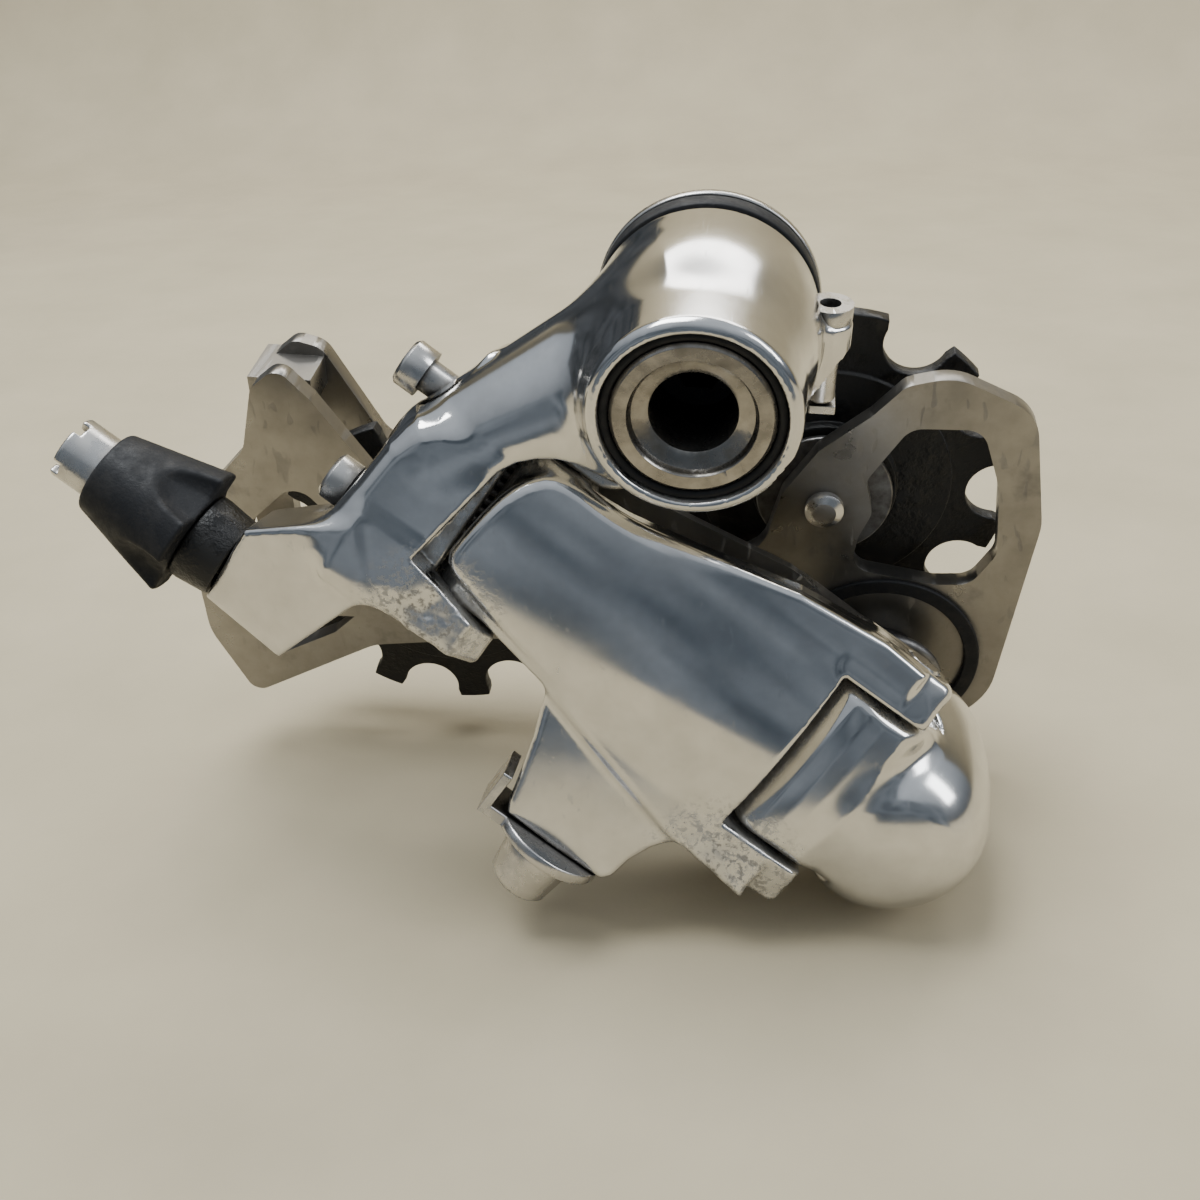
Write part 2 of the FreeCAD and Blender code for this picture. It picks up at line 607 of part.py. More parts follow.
def inner_link():
    """Inner link: wall with two pairs of ears, its cage-end pin and the return spring."""
    gap = D["run_gap"]
    pin_end = (D["link_len"] + D["pair_back"], D["pair_in"])
    wall_outline = [
        (-6, -6.4), (-6, 11.9), (14, 12.6), (30, 15.4),
        (35.2, 15.5), (35.2, -13.1), (30, -13), (14, -8)]
    wall = slab("inner_wall", wall_outline, -15.4, 2.6, 1.2, role="XZ_Plane")
    knuckle_ear = [(-9.1, 8.6), (-6.8, 6.9), (-3.0, 6.9), (4, 12.9), (4, 15.4), (-6.8, 15.4), (-9.1, 12.9)]
    cage_ear = [(31, 12.9), (38.6, 7.6), (41.3, 6.9), (45.3, 9.0), (45.3, 12.8), (42.6, 14.9), (31, 15.4)]
    shapes = [wall]
    for name, outline, low, thick in (
        ("inner_ear_1", knuckle_ear, 9.0, 3.3), ("inner_ear_2", knuckle_ear, -6.9, 3.3),
        ("inner_ear_3", cage_ear, 12.5, 3.0), ("inner_ear_4", cage_ear, -13.1, 3.0),
    ):
        shapes.append(slab(name, outline, low, thick, 1.6))
    tools = [
        rod("inner_b_bore", D["pin_rad"] + gap, -20, 20, D["pair_back"], D["pair_in"]),
        rod("inner_p_bore", D["pin_rad"], -20, 20, *pin_end),
        rod("inner_spring_room", 3.5, -3.4, 8.8, D["pair_back"], D["pair_in"]),
    ]
    keep(cut("inner_link", fuse("inner_solid", shapes), tools), "inner_link", LINK)
    pin_place = INNER_PIN * shift(val("link_len"), 0)
    keep(turned("link_pin_inner_p", pin_profile(-13.3, 15.8)), "link_pin_inner_p", pin_place)
    spring, low = coil("return_spring", 2.8, 0.4, -2.6, 1.35, 7.5)
    keep(spring, "return_spring", INNER_PIN * low)


# ------------------------------------------------------------------ swing knuckle
def p_knuckle():
    """Swing knuckle: flange, body with the axle spring's pocket, and the tongue between the links."""
    body = turned("p_barrel", [
        (0, D["p_back"]), (D["p_flange_rad"], D["p_back"]), (D["p_flange_rad"], 3.0),
        (D["p_body_rad"] + 0.4, 6.0), (D["p_body_rad"], 12.0), (D["p_body_rad"], 41.0), (0, 41.0)])
    placed(body, P_AXIS)
    outer_end = (D["link_len"], 0)
    inner_end = (D["link_len"] + D["pair_back"], D["pair_in"])
    tongue_outline = [
        (val("link_len") + 0.4, -6.9, 2.0), (58.5, -6.6), (61, 6.0), (55.5, 15.5), (42.5, 15.0),
        (37.4, 13.0, 3.0), (37.2, 9.6, 2.0), (41.0, 4.4), (39.5, -1.0, 3.0), (40.6, -4.4, 3.0)]
    tongue = placed(slab("p_tongue", tongue_outline, -9.8, 22.0, 1.5), LINK)
    outboard = placed(block("p_outboard", (20, -6.9, -40), (90, 70, 50)), LINK)
    solid = common("p_solid", fuse("p_rough", [body, tongue]), outboard)
    tools = [
        placed(rod("p_spring_pocket", D["p_cavity_rad"], D["p_back"] - 1, D["p_cavity_end"]), P_AXIS),
        placed(rod("p_bush_seat", D["p_bush_rad"], 17.0, 19.5), P_AXIS),
        placed(rod("p_axle_bore", D["swing_axle_rad"] + D["run_gap"], 15.0, 23.4), P_AXIS),
        placed(rod("p_lock_bore", 2.0, 0, 20), LOCK_SCREW),
        placed(rod("outer_p_pin_bore", D["pin_rad"] + D["run_gap"], -20, 20, *outer_end), LINK),
        placed(rod("inner_p_pin_bore", D["pin_rad"] + D["open_pin_gap"], -20, 20, *inner_end), LINK),
    ]
    for low, high in ((-17.3, -9.8), (12.2, 18.9)):
        tools.append(placed(rod("ear_room", 8.1, low, high, *outer_end), LINK))
        tools.append(placed(rod("ear_room", 4.6, low, high, *inner_end), LINK))
    return keep(cut("p_knuckle", solid, tools), "p_knuckle")


def p_fittings():
    """Bush, seal, spring and axle lock screw of the swing knuckle."""
    bush = ring_profile(D["swing_axle_rad"] + D["run_gap"], D["p_bush_rad"] - 0.02, 17.6, 19.4)
    keep(turned("p_bush", bush), "p_bush", P_AXIS)
    keep(turned("p_seal", ring_profile(11.4, 13.4, -1.75, -1.02)), "p_seal", P_AXIS)
    spring, low = coil("p_spring", 7.1, 1.0, 3.0, 2.5, 4.6)
    keep(spring, "p_spring", P_AXIS * low)
    screw = turned("axle_lock_screw", [
        (0, 4.5), (0.9, 4.5), (0.9, 6.0), (1.98, 6.4), (1.98, 11.2), (1.0, 11.2), (1.0, 9.6), (0, 9.6)])
    keep(screw, "axle_lock_screw", LOCK_SCREW)


# ------------------------------------------------------------------ cage
ANGLE = math.radians(val("cage_angle"))
GUIDE = (val("guide_fore"), val("guide_up"))
TENSION = (GUIDE[0] + val("cage_span") * math.cos(ANGLE), GUIDE[1] + val("cage_span") * math.sin(ANGLE))
OUTER_LOW = val("outer_plate_face") - val("cage_sheet")
INNER_LOW = val("inner_plate_face") - val("cage_sheet")
STOP = (val("swing_axle_fore") - 13.2, val("swing_axle_up") - 9.7)


def cage_outer_plate():
    """Outer plate: open D window ahead of the guide pulley, windows round the tension pulley."""
    outline = [
        (43.6, -30.0, 8), (40.2, -14.0, 6), (29.8, -9.6, 7), (24.2, -11.2), (20.6, -15.6), (14.6, -21.0),
        (10.6, -27.6), (8.6, -36.6, 5), (1.0, -39.6, 6), (-14, -37.2), (-32, -36.0), (-41.6, -31.6, 4),
        (-50.4, -18.2, 3), (-54.4, -13.8, 2), (-58.2, -17.0, 2), (-60.6, -26.4, 4), (-71.0, -38.0, 12),
        (-70.6, -58.0, 9), (-65.4, -69.6, 2), (-46.0, -58.4, 8), (-26, -55.2), (-6, -57.6, 8),
        (13.0, -67.2, 8), (25.9, -70.2, 10),
        (41.6, -60.6, 10)]
    d_window = [
        (25.4, -17.0), (34.2, -16.6), (37.4, -24.8, 10), (38.8, -35.0), (36.2, -40.0), (31.6, -40.4),
        (20.4, -38.7), (20.9, -33.6, 4), (22.3, -29.8, 3), (20.9, -25.0, 2.5)]
    rear_window = [
        (-61.0, -37.6), (-54.2, -31.0), (-46.0, -41.0), (-46.4, -51.4),
        (-51.6, -56.6), (-62.4, -62.6), (-66.0, -50.0)]
    plate = slab("outer_sheet_metal", outline, OUTER_LOW, D["cage_sheet"], 3.0, windows=(d_window,))
    cutter = slab("tension_window", rear_window, OUTER_LOW - 1, 6.0, 3.0)
    hub = rod("tension_hub", 7.2, OUTER_LOW, D["outer_plate_face"], TENSION[0], TENSION[1])
    rib_outline = [(-66, -54), (-60, -48), (-36, -44), (-36, -53)]
    rib = slab("tension_rib", rib_outline, OUTER_LOW, D["cage_sheet"], 1.0)
    opened = cut("outer_opened", plate, [cutter])
    solid = fuse("outer_sheet", [opened, hub, rib])
    tools = [
        rod("outer_guide_hole", D["pulley_bolt_rad"], -8, 4, GUIDE[0], GUIDE[1]),
        rod("outer_tension_hole", D["pulley_bolt_rad"], -8, 4, TENSION[0], TENSION[1]),
        rod("outer_axle_hole", D["swing_axle_rad"], -8, 4, D["swing_axle_fore"], D["swing_axle_up"]),
        rod("outer_stop_hole", 1.5, -8, 4, STOP[0], STOP[1]),
    ]
    keep(cut("cage_outer_plate", solid, tools), "cage_outer_plate")


def cage_inner_plate():
    """Inner plate: ring round each pulley hub, joined by a spine, with a hooked guard at the rear."""
    outline = [
        (30.5, -26.0, 10), (25.4, -16.2, 8), (12.0, -14.0, 10), (3.6, -22.0, 8), (-3.0, -33.0, 8),
        (-20, -39.0), (-38, -36.6, 6), (-45.2, -30.0, 4), (-52.2, -17.2, 3), (-56.0, -16.2, 2),
        (-61.4, -20.6, 2), (-62.0, -29.0, 4), (-66.0, -42.0, 10), (-64.6, -60.0, 9), (-54.0, -67.0, 8),
        (-38.0, -60.0, 8), (-18, -55.0, 8), (2, -48.0, 8),
        (20, -45.6, 8), (29.0, -38.0, 8)]
    guide_window = [(24.0, -34.0), (24.6, -23.0), (20.0, -19.4), (21.2, -33.6)]
    rear_window = [(-59.6, -38.0), (-52.6, -30.4), (-45.6, -38.6), (-45.8, -45.6), (-59.6, -52.0)]
    low_window = [(-58.6, -56.6), (-46.4, -50.6), (-42.6, -56.6), (-53.4, -62.4)]
    spine_window = [(-26.6, -43.0), (-6.0, -40.6), (2.4, -42.0), (-10.0, -48.0), (-26.6, -51.0)]
    holes = [(GUIDE[0], GUIDE[1], D["pulley_bolt_rad"]), (TENSION[0], TENSION[1], D["pulley_bolt_rad"])]
    windows = (guide_window, rear_window, low_window, spine_window)
    plate = slab("inner_sheet", outline, INNER_LOW, D["cage_sheet"], 3.0, windows=windows, holes=holes)
    hook = block("chain_guard", (-60.6, -22.4, INNER_LOW), (-52.0, -18.4, -7.4))
    keep(fuse("cage_inner_plate", [plate, hook]), "cage_inner_plate")


def cage_pivot():
    """Axle that the cage swings on, grooved for its lock screw, and the cage's stop pin."""
    rad = D["swing_axle_rad"] - 0.02
    axle = turned("p_axle", [
        (0, OUTER_LOW), (rad, OUTER_LOW), (rad, 20.2), (4.1, 20.2), (4.1, 22.2),
        (rad, 22.2), (rad, 22.9), (4.4, 23.2), (0, 23.2)])
    keep(axle, "p_axle", P_AXIS)
    stop = turned("cage_stop_pin", [
        (0, OUTER_LOW), (1.48, OUTER_LOW), (1.48, -1.9), (2.2, -1.9), (2.2, 1.6), (0, 1.6)])
    keep(stop, "cage_stop_pin", shift(*STOP))


def pulley_mount(label, centre):
    """Bolt, bush and the two dust caps that carry one pulley."""
    rad = D["pulley_bolt_rad"]
    place = shift(*centre)
    bolt = turned(label + "_bolt", [
        (0, -0.4), (rad - 1.0, -0.4), (rad - 0.02, -1.0), (rad - 0.02, INNER_LOW), (4.4, INNER_LOW),
        (4.4, INNER_LOW - 1.6), (3.6, INNER_LOW - 2.2), (1.8, INNER_LOW - 2.2), (1.8, INNER_LOW - 0.6),
        (0, INNER_LOW - 0.6)])
    keep(bolt, label + "_bolt", place)
    for side, low in (("outer", OUTER_LOW - 0.95), ("inner", val("inner_plate_face") + 0.05)):
        name = "%s_%s_cap" % (label, side)
        keep(turned(name, ring_profile(rad + 0.05, D["cap_rad"], low, low + 0.9)), name, place)
    keep(turned(label + "_bush", ring_profile(rad + 0.03, 4.0, -13.1, -5.5)), label + "_bush", place)


def pulley(name, centre, bore, half):
    """Toothed pulley: one gap cut in a disc and repeated round it, thick hub in the middle."""
    teeth = int(val("teeth"))
    pitch_rad = val("chain_pitch") / (2 * math.sin(math.pi / teeth))
    tip = pitch_rad + val("tooth_height")
    body = new_body(name + "_rim")
    rim = sketch_on(body, "XY_Plane", D["pulley_mid"] - D["tooth_wide"] * 0.5)
    draw_circle(rim, 0, 0, tip)
    pad(body, rim, D["tooth_wide"])
    gap = sketch_on(body, "XY_Plane", -16.0)
    flare = D["roller_rad"] + 1.35
    draw_gap(gap, pitch_rad, val("roller_rad"), flare.value, tip + 1.5)
    notch = pocket(body, gap, 14.0, reverse=True)
    pattern = body.newObject("PartDesign::PolarPattern", name + "_teeth")
    pattern.Originals = [notch]
    pattern.Axis = (gap, ["N_Axis"])
    pattern.Angle = 360
    bind(pattern, "Occurrences", D["teeth"])
    body.Tip = pattern
    hub = rod(name + "_hub", 9.4, D["pulley_mid"] - half, D["pulley_mid"] + half)
    disc = rod(name + "_web", 16.4, D["pulley_mid"] - 1.6, D["pulley_mid"] + 1.6)
    bore_rod = rod(name + "_bore", bore, -20, 0)
    solid = fuse(name + "_solid", [body, disc, hub])
    keep(cut(name, solid, [bore_rod]), name, shift(*centre))


def draw_gap(sketch, pitch_rad, root, flare, outer):
    """One tooth gap: a round root on the pitch circle opening out to the tip."""
    a = Vec(pitch_rad, root, 0)
    b = Vec(outer, flare, 0)
    c = Vec(outer, -flare, 0)
    d = Vec(pitch_rad, -root, 0)
    sketch.addGeometry(Part.Arc(d, Vec(pitch_rad - root, 0, 0), a))
    sketch.addGeometry(Part.LineSegment(a, b))
    sketch.addGeometry(Part.LineSegment(b, c))
    sketch.addGeometry(Part.LineSegment(c, d))


def pulleys():
    gap = D["run_gap"]
    keep(turned("guide_sleeve", ring_profile(4.0 + gap, 5.2, -12.3, -6.3)), "guide_sleeve", shift(*GUIDE))
    pulley("guide_pulley", GUIDE, 5.2 + gap, 3.0)
    pulley("tension_pulley", TENSION, 4.0 + gap, 3.6)


# ------------------------------------------------------------------ build, check and write
def build():
    mounting_bolt()
    stop_plate()
    b_knuckle()
    knuckle_bearings()
    screws()
    knuckle_pins()
    cable_barrel()
    outer_link()
    cable_anchor()
    inner_link()
    p_knuckle()
    p_fittings()
    cage_outer_plate()
    cage_inner_plate()
    cage_pivot()
    pulley_mount("guide", GUIDE)
    pulley_mount("tension", TENSION)
    pulleys()
    DOC.recompute()


def check():
    """Stop if any object failed or any sub-part is not one valid closed shape."""
    for obj in DOC.Objects:
        if "Invalid" in obj.State or "Error" in obj.State:
            raise RuntimeError("%s did not compute: %s" % (obj.Label, obj.State))
    for obj in NODES:
        shape = obj.Shape
        if shape.isNull() or not shape.isValid() or not shape.Solids:
            raise RuntimeError("%s has no valid solid" % obj.Label)


def write():
    os.makedirs("parts", exist_ok=True)
    for obj in NODES:
        obj.Shape.exportStep("parts/%s.step" % obj.Label)


build()
check()
write()
for node in NODES:
    print("%-20s %2d solid %9.1f mm3" % (node.Label, len(node.Shape.Solids), node.Shape.Volume))
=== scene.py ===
"""Rear derailleur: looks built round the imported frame.  Lengths in the shape code are millimetres."""
import json
import math

import bpy
import numpy as np
from mathutils import Matrix, Vector


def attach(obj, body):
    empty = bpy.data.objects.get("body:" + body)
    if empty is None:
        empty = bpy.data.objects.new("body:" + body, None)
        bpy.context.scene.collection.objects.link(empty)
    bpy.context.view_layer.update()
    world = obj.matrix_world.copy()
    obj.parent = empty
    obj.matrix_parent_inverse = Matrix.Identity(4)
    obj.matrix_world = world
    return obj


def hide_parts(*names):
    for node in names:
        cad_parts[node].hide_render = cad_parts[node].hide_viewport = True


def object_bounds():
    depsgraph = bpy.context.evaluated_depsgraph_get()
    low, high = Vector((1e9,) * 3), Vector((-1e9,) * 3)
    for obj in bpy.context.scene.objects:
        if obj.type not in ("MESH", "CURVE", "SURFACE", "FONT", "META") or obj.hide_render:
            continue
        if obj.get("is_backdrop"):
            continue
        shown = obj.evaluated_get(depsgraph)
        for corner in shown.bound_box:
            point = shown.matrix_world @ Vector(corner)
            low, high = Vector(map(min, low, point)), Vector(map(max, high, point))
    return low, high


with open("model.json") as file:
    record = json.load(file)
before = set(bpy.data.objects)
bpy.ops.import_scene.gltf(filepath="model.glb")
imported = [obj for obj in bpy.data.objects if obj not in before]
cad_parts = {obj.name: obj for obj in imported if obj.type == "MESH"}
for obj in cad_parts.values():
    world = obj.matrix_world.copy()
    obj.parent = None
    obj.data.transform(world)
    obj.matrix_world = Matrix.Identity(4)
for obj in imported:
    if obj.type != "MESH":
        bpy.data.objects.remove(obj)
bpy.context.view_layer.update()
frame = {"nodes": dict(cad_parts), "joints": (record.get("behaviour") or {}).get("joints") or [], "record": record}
MM = 0.001
JOINTS = {joint["name"]: joint for joint in frame["joints"]}
BODY_OF = {node: body for body, nodes in frame["record"]["behaviour"]["bodies"].items() for node in nodes}


# ---------------------------------------------------------------- frames
class Frame:
    """A right-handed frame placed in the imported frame: an origin in mm and three unit rows."""

    def __init__(self, origin, axes):
        self.origin = np.array(origin, float)
        self.axes = np.array(axes, float)

    def world(self, points):
        """Packed-frame metres of local points in mm."""
        return (self.origin + np.asarray(points, float) @ self.axes) * MM

    def local(self, point):
        """Local mm of a packed-frame point in mm."""
        return self.axes @ (point - self.origin)

    def seen_from(self, other, x, y, z):
        """This frame's coordinates of points given in the other frame's coordinates."""
        turn = self.axes @ other.axes.T
        start = self.axes @ (other.origin - self.origin)
        return [turn[i, 0] * x + turn[i, 1] * y + turn[i, 2] * z + start[i] for i in range(3)]


def joint_axis(name):
    axis = np.array(JOINTS[name]["axis"], float)
    return axis / np.linalg.norm(axis)


def joint_point(name):
    return np.array(JOINTS[name]["pos_m"], float) / MM


OUT = joint_axis("knuckle_turn")
UP = joint_axis("tension_screw_travel")
FORE = np.cross(UP, OUT)
SIDE = Frame((0, 0, 0), (FORE, UP, OUT))
ALONG = -joint_axis("barrel_travel")
PINWARD = joint_axis("swing")
LINK = Frame(joint_point("swing"), (ALONG, np.cross(PINWARD, ALONG), PINWARD))
CAGE_AXIS = joint_point("cage_turn")
CAGE = Frame(CAGE_AXIS - OUT * (CAGE_AXIS @ OUT), (FORE, UP, OUT))


# ---------------------------------------------------------------- distance fields
def length(*parts):
    return np.sqrt(sum(p * p for p in parts))


def join(a, b, k=0.0):
    """Union of two solids, filleted over k."""
    if k <= 0:
        return np.minimum(a, b)
    h = np.maximum(k - np.abs(a - b), 0) / k
    return np.minimum(a, b) - h * h * k * 0.25


def meet(a, b, k=0.0):
    """Intersection of two solids, rounded over k."""
    return -join(-a, -b, k)


def less(a, b, k=0.0):
    """Solid a without solid b."""
    return meet(a, -b, k)


def within(v, low, high):
    """Signed distance to a band along one axis."""
    return np.abs(v - (low + high) / 2) - (high - low) / 2


def rounded(d2, band, r):
    """Extrusion of a flat distance over a band with edges of radius r."""
    a, b = d2 + r, band + r
    return np.minimum(np.maximum(a, b), 0) + length(np.maximum(a, 0), np.maximum(b, 0)) - r


def tube(x, y, z, radius, low, high, r):
    """Cylinder along z with ends rounded by r."""
    return rounded(length(x, y) - radius, within(z, low, high), r)


def cone(x, y, z, r0, z0, r1, z1, r=0.0):
    """Cylinder along z whose radius changes evenly."""
    slope = (r1 - r0) / (z1 - z0)
    side = (length(x, y) - (r0 + (z - z0) * slope)) / math.hypot(1, slope)
    return rounded(side, within(z, z0, z1), r)


def taper(x, y, z, start, r_start, end, r_end):
    """Round bar between two points whose radius changes evenly."""
    ax, ay, az = start
    bx, by, bz = (b - a for a, b in zip(start, end))
    t = np.clip(((x - ax) * bx + (y - ay) * by + (z - az) * bz) / (bx * bx + by * by + bz * bz), 0, 1)
    return length(x - ax - t * bx, y - ay - t * by, z - az - t * bz) - (r_start + (r_end - r_start) * t)


def outline(u, v, points):
    """Signed distance to a closed polygon in a plane."""
    count = len(points)
    nearest = None
    winding = None
    for i in range(count):
        (ax, ay), (bx, by) = points[i], points[(i + 1) % count]
        ex, ey = bx - ax, by - ay
        wx, wy = u - ax, v - ay
        t = np.clip((wx * ex + wy * ey) / (ex * ex + ey * ey), 0, 1)
        gap = (wx - ex * t) ** 2 + (wy - ey * t) ** 2
        nearest = gap if nearest is None else np.minimum(nearest, gap)
        crosses = ((ay <= v) & (by > v)) | ((ay > v) & (by <= v))
        side = (ex * wy - ey * wx) * (1.0 if by > ay else -1.0) > 0
        flip = crosses & side
        winding = flip if winding is None else winding ^ flip
    return np.sqrt(nearest) * np.where(winding, -1.0, 1.0)


def eased(points, rounds=2):
    """The polygon with its corners cut back again and again into curves."""
    for _ in range(rounds):
        sides = zip(points, points[1:] + points[:1])
        points = [tuple(p + (q - p) * t for p, q in zip(a, b)) for a, b in sides for t in (0.25, 0.75)]
    return points


def arc(centre, radius, start, end, count):
    """Points along a circular arc between two angles in degrees."""
    angles = np.radians(np.linspace(start, end, count))
    return [(centre[0] + radius * math.cos(a), centre[1] + radius * math.sin(a)) for a in angles]


def lumps(x, y, z, scale, seed):
    """Smooth bumpy value, mostly within -1..1, from a few turned waves, the same every run."""
    rng = np.random.default_rng(seed)
    total = 0
    for _ in range(6):
        k = rng.normal(size=3)
        k = k / np.linalg.norm(k) / scale * rng.uniform(0.7, 1.6)
        total = total + np.sin(k[0] * x + k[1] * y + k[2] * z + rng.uniform(0, 6.28))
    return total / 4


# ---------------------------------------------------------------- meshing
CUBE = [(i, j, k) for i in (0, 1) for j in (0, 1) for k in (0, 1)]


def surface_net(field, inside):
    """A vertex in each cell that the surface crosses, and a quad round each crossed edge."""
    shape = tuple(n - 1 for n in field.shape)
    corner = [inside[i:i + shape[0], j:j + shape[1], k:k + shape[2]] for i, j, k in CUBE]
    count = sum(c.astype(np.int8) for c in corner)
    cells = np.argwhere((count > 0) & (count < 8))
    number = np.full(shape, -1, np.int32)
    number[tuple(cells.T)] = np.arange(len(cells))
    total = np.zeros((len(cells), 3))
    hits = np.zeros(len(cells))
    for a in CUBE:
        for axis in range(3):
            if a[axis]:
                continue
            b = tuple(a[n] + (n == axis) for n in range(3))
            fa = field[tuple((cells + a).T)]
            fb = field[tuple((cells + b).T)]
            cross = (fa < 0) != (fb < 0)
            t = np.where(cross, fa / np.where(cross, fa - fb, 1), 0)
            point = np.array(a, float) + t[:, None] * (np.arange(3) == axis)
            total += point * cross[:, None]
            hits += cross
    points = cells + total / hits[:, None]
    quads = []
    for axis in range(3):
        p, q = [n for n in range(3) if n != axis]
        low = [slice(0, -1)] * 3
        high = [slice(0, -1)] * 3
        high[axis] = slice(1, None)
        differ = inside[tuple(low)] != inside[tuple(high)]
        for n in (p, q):
            edge = [slice(None)] * 3
            edge[n] = 0
            differ[tuple(edge)] = False
        at = np.argwhere(differ)
        step_p, step_q = np.eye(3, dtype=int)[p], np.eye(3, dtype=int)[q]
        ring = [at - step_p - step_q, at - step_q, at, at - step_p]
        quad = np.stack([number[tuple(r.T)] for r in ring], axis=1)
        front = inside[tuple(at.T)]
        if axis == 1:
            front = ~front
        quad[~front] = quad[~front][:, ::-1]
        quads.append(quad)
    return points, np.concatenate(quads)


def sculpt(name, solid, low, high, cell):
    """Mesh a distance field given in link-frame coordinates, snapped onto its own surface."""
    low, high = np.array(low, float), np.array(high, float)
    ticks = [np.arange(low[n], high[n] + cell, cell) for n in range(3)]
    field = np.broadcast_to(
        solid(ticks[0][:, None, None], ticks[1][None, :, None], ticks[2][None, None, :]),
        tuple(len(t) for t in ticks)).astype(np.float32)
    points, quads = surface_net(field, field < 0)
    points = low + points * cell
    probe = 0.04
    for _ in range(3):
        value = solid(*points.T)
        grad = np.stack([
            (solid(*(points + probe * e).T) - solid(*(points - probe * e).T)) / (2 * probe)
            for e in np.eye(3)], axis=1)
        steepness = np.maximum((grad ** 2).sum(1), 0.05)
        move = -(value / steepness)[:, None] * grad
        longest = 0.3 * cell
        points = points + move * np.minimum(longest / np.maximum(length(*move.T), 1e-9), 1)[:, None]
    return new_mesh(name, LINK.world(points), quads)


def new_mesh(name, points, faces):
    mesh = bpy.data.meshes.new(name)
    mesh.from_pydata(points.tolist(), [], faces.tolist())
    mesh.update()
    mesh.shade_smooth()
    piece = bpy.data.objects.new(name, mesh)
    bpy.context.scene.collection.objects.link(piece)
    return piece


def stand_in(piece, node, material):
    """Let a piece replace the visual of a CAD node and ride on that node's body."""
    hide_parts(node)
    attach(piece, BODY_OF[node])
    piece.data.materials.append(material)


# ---------------------------------------------------------------- forged shapes
# Places are in the link frame: x along the links, y inboard, z up along the pins.
PIN_R = 2.2
LINK_LEN = float(np.linalg.norm(joint_point("knuckle_level") - joint_point("swing")))
PAIR = LINK.local(joint_point("inner_swing"))[:2]
BARREL_Z = LINK.local(joint_point("barrel_turn"))[2]
ANCHOR = LINK.local(joint_point("anchor_bolt_turn"))[:2]
LIMIT_Y = 1.6
LIMIT_Z = (11.0, -5.2)
TENSION = (13.6, 6.6)  # the tension screw's x and z in the side frame
FACE_Y = -6.9  # outboard face of the links
FORK_Z = (-17.3, 18.9)  # room for the outer link's two ears
SLOT_Z = (-10.2, 12.6)  # gap between those ears
TONGUE_Z = (-9.8, 12.2)  # the swing knuckle's tongue in that gap
EAR_CORNER = (-3.0, -6.0, -9.6)
FORK_CORNER = (44.0, -6.0, -15.0)


def bore(u, v, w, radius, low, high):
    """A drilled hole along w."""
    return meet(length(u, v) - radius, within(w, low, high))


def stepped_bore(u, v, w, steps):
    """Holes on one axis, each step with its radius, start and end."""
    hole = bore(u, v, w, *steps[0])
    for step in steps[1:]:
        hole = join(hole, bore(u, v, w, *step))
    return hole


def worn(x, y, z, place, reach):
    """1 at a knocked corner, falling to 0 at reach."""
    px, py, pz = place
    return np.clip(1 - length(x - px, y - py, z - pz) / reach, 0, 1)


def cable_boss(x, y, z):
    """Block that holds the cable barrel, with an outboard face that leans inboard towards its low end."""
    lean = 0.27
    shape = outline(x, z, [(-15.0, -5.0), (-19.8, -9.2), (-25.3, -14.4), (-25.3, -25.3), (-14.4, -26.5),
                           (-9.6, -12.0)])
    face = (FACE_Y + lean * (-10.0 - z) - y) / math.hypot(1, lean)
    return meet(rounded(shape, within(y, -7.4, 6.0), 1.3), face, 0.6)


def pin_ears(x, y, z):
    """Low and high ear for the link pins, the low one knocked at its outboard corner."""
    root = [(-0.9, 14.4), (-5.1, 15.2), (-9.3, 13.4), (-14, 7.5)]
    low_shape = outline(x, y, [(-15, -6.6), (1.6, -6.6), (4.8, -4.0), (4.4, 3.4)] + root)
    high_shape = outline(x, y, [(-14, -2.6), (3.4, -2.6), (4.6, 0.5), (3.6, 4.4)] + root)
    dents = 0.288 * lumps(x, y, z, 0.55, 4) + 0.18 * lumps(x, y, z, 0.25, 5)
    low_ear = rounded(low_shape, within(z, -12.6, -3.6), 1.2) + dents * worn(x, y, z, EAR_CORNER, 8.5)
    return low_ear, rounded(high_shape, within(z, 13.2, 18.6), 1.2)


def tension_lug(sx, sy, sz):
    """Boss for the tension screw and its foot on the knuckle barrel, in side-frame coordinates."""
    tx, tz = TENSION
    boss = tube(sx - tx, sz - tz, sy, 2.7, -8.0, 1.4, 0.7)
    foot = meet(within(sx, 8, tx), within(sz, tz - 2.2, tz + 2.2))
    return join(boss, rounded(foot, within(sy, -7.4, 0.8), 0.4), 1.5)


def link_rooms(x, y, z):
    """The arm's outboard room for the outer link, and the slot behind it that both links swing in."""
    open_end = 40
    floor_z = -8.1
    room = outline(x, z, [(-7.9, -5.0)] + arc((3.2, 5.6), 9.4, 160, 90, 6)
                   + [(open_end, 15.0), (open_end, floor_z), (3.4, floor_z), (-5.4, -5.6)])
    slot = meet(within(x, -5.2, open_end) + 0 * y, within(z, floor_z, 13.2))
    return meet(room, y + 3.2), meet(slot, -3.4 - y)


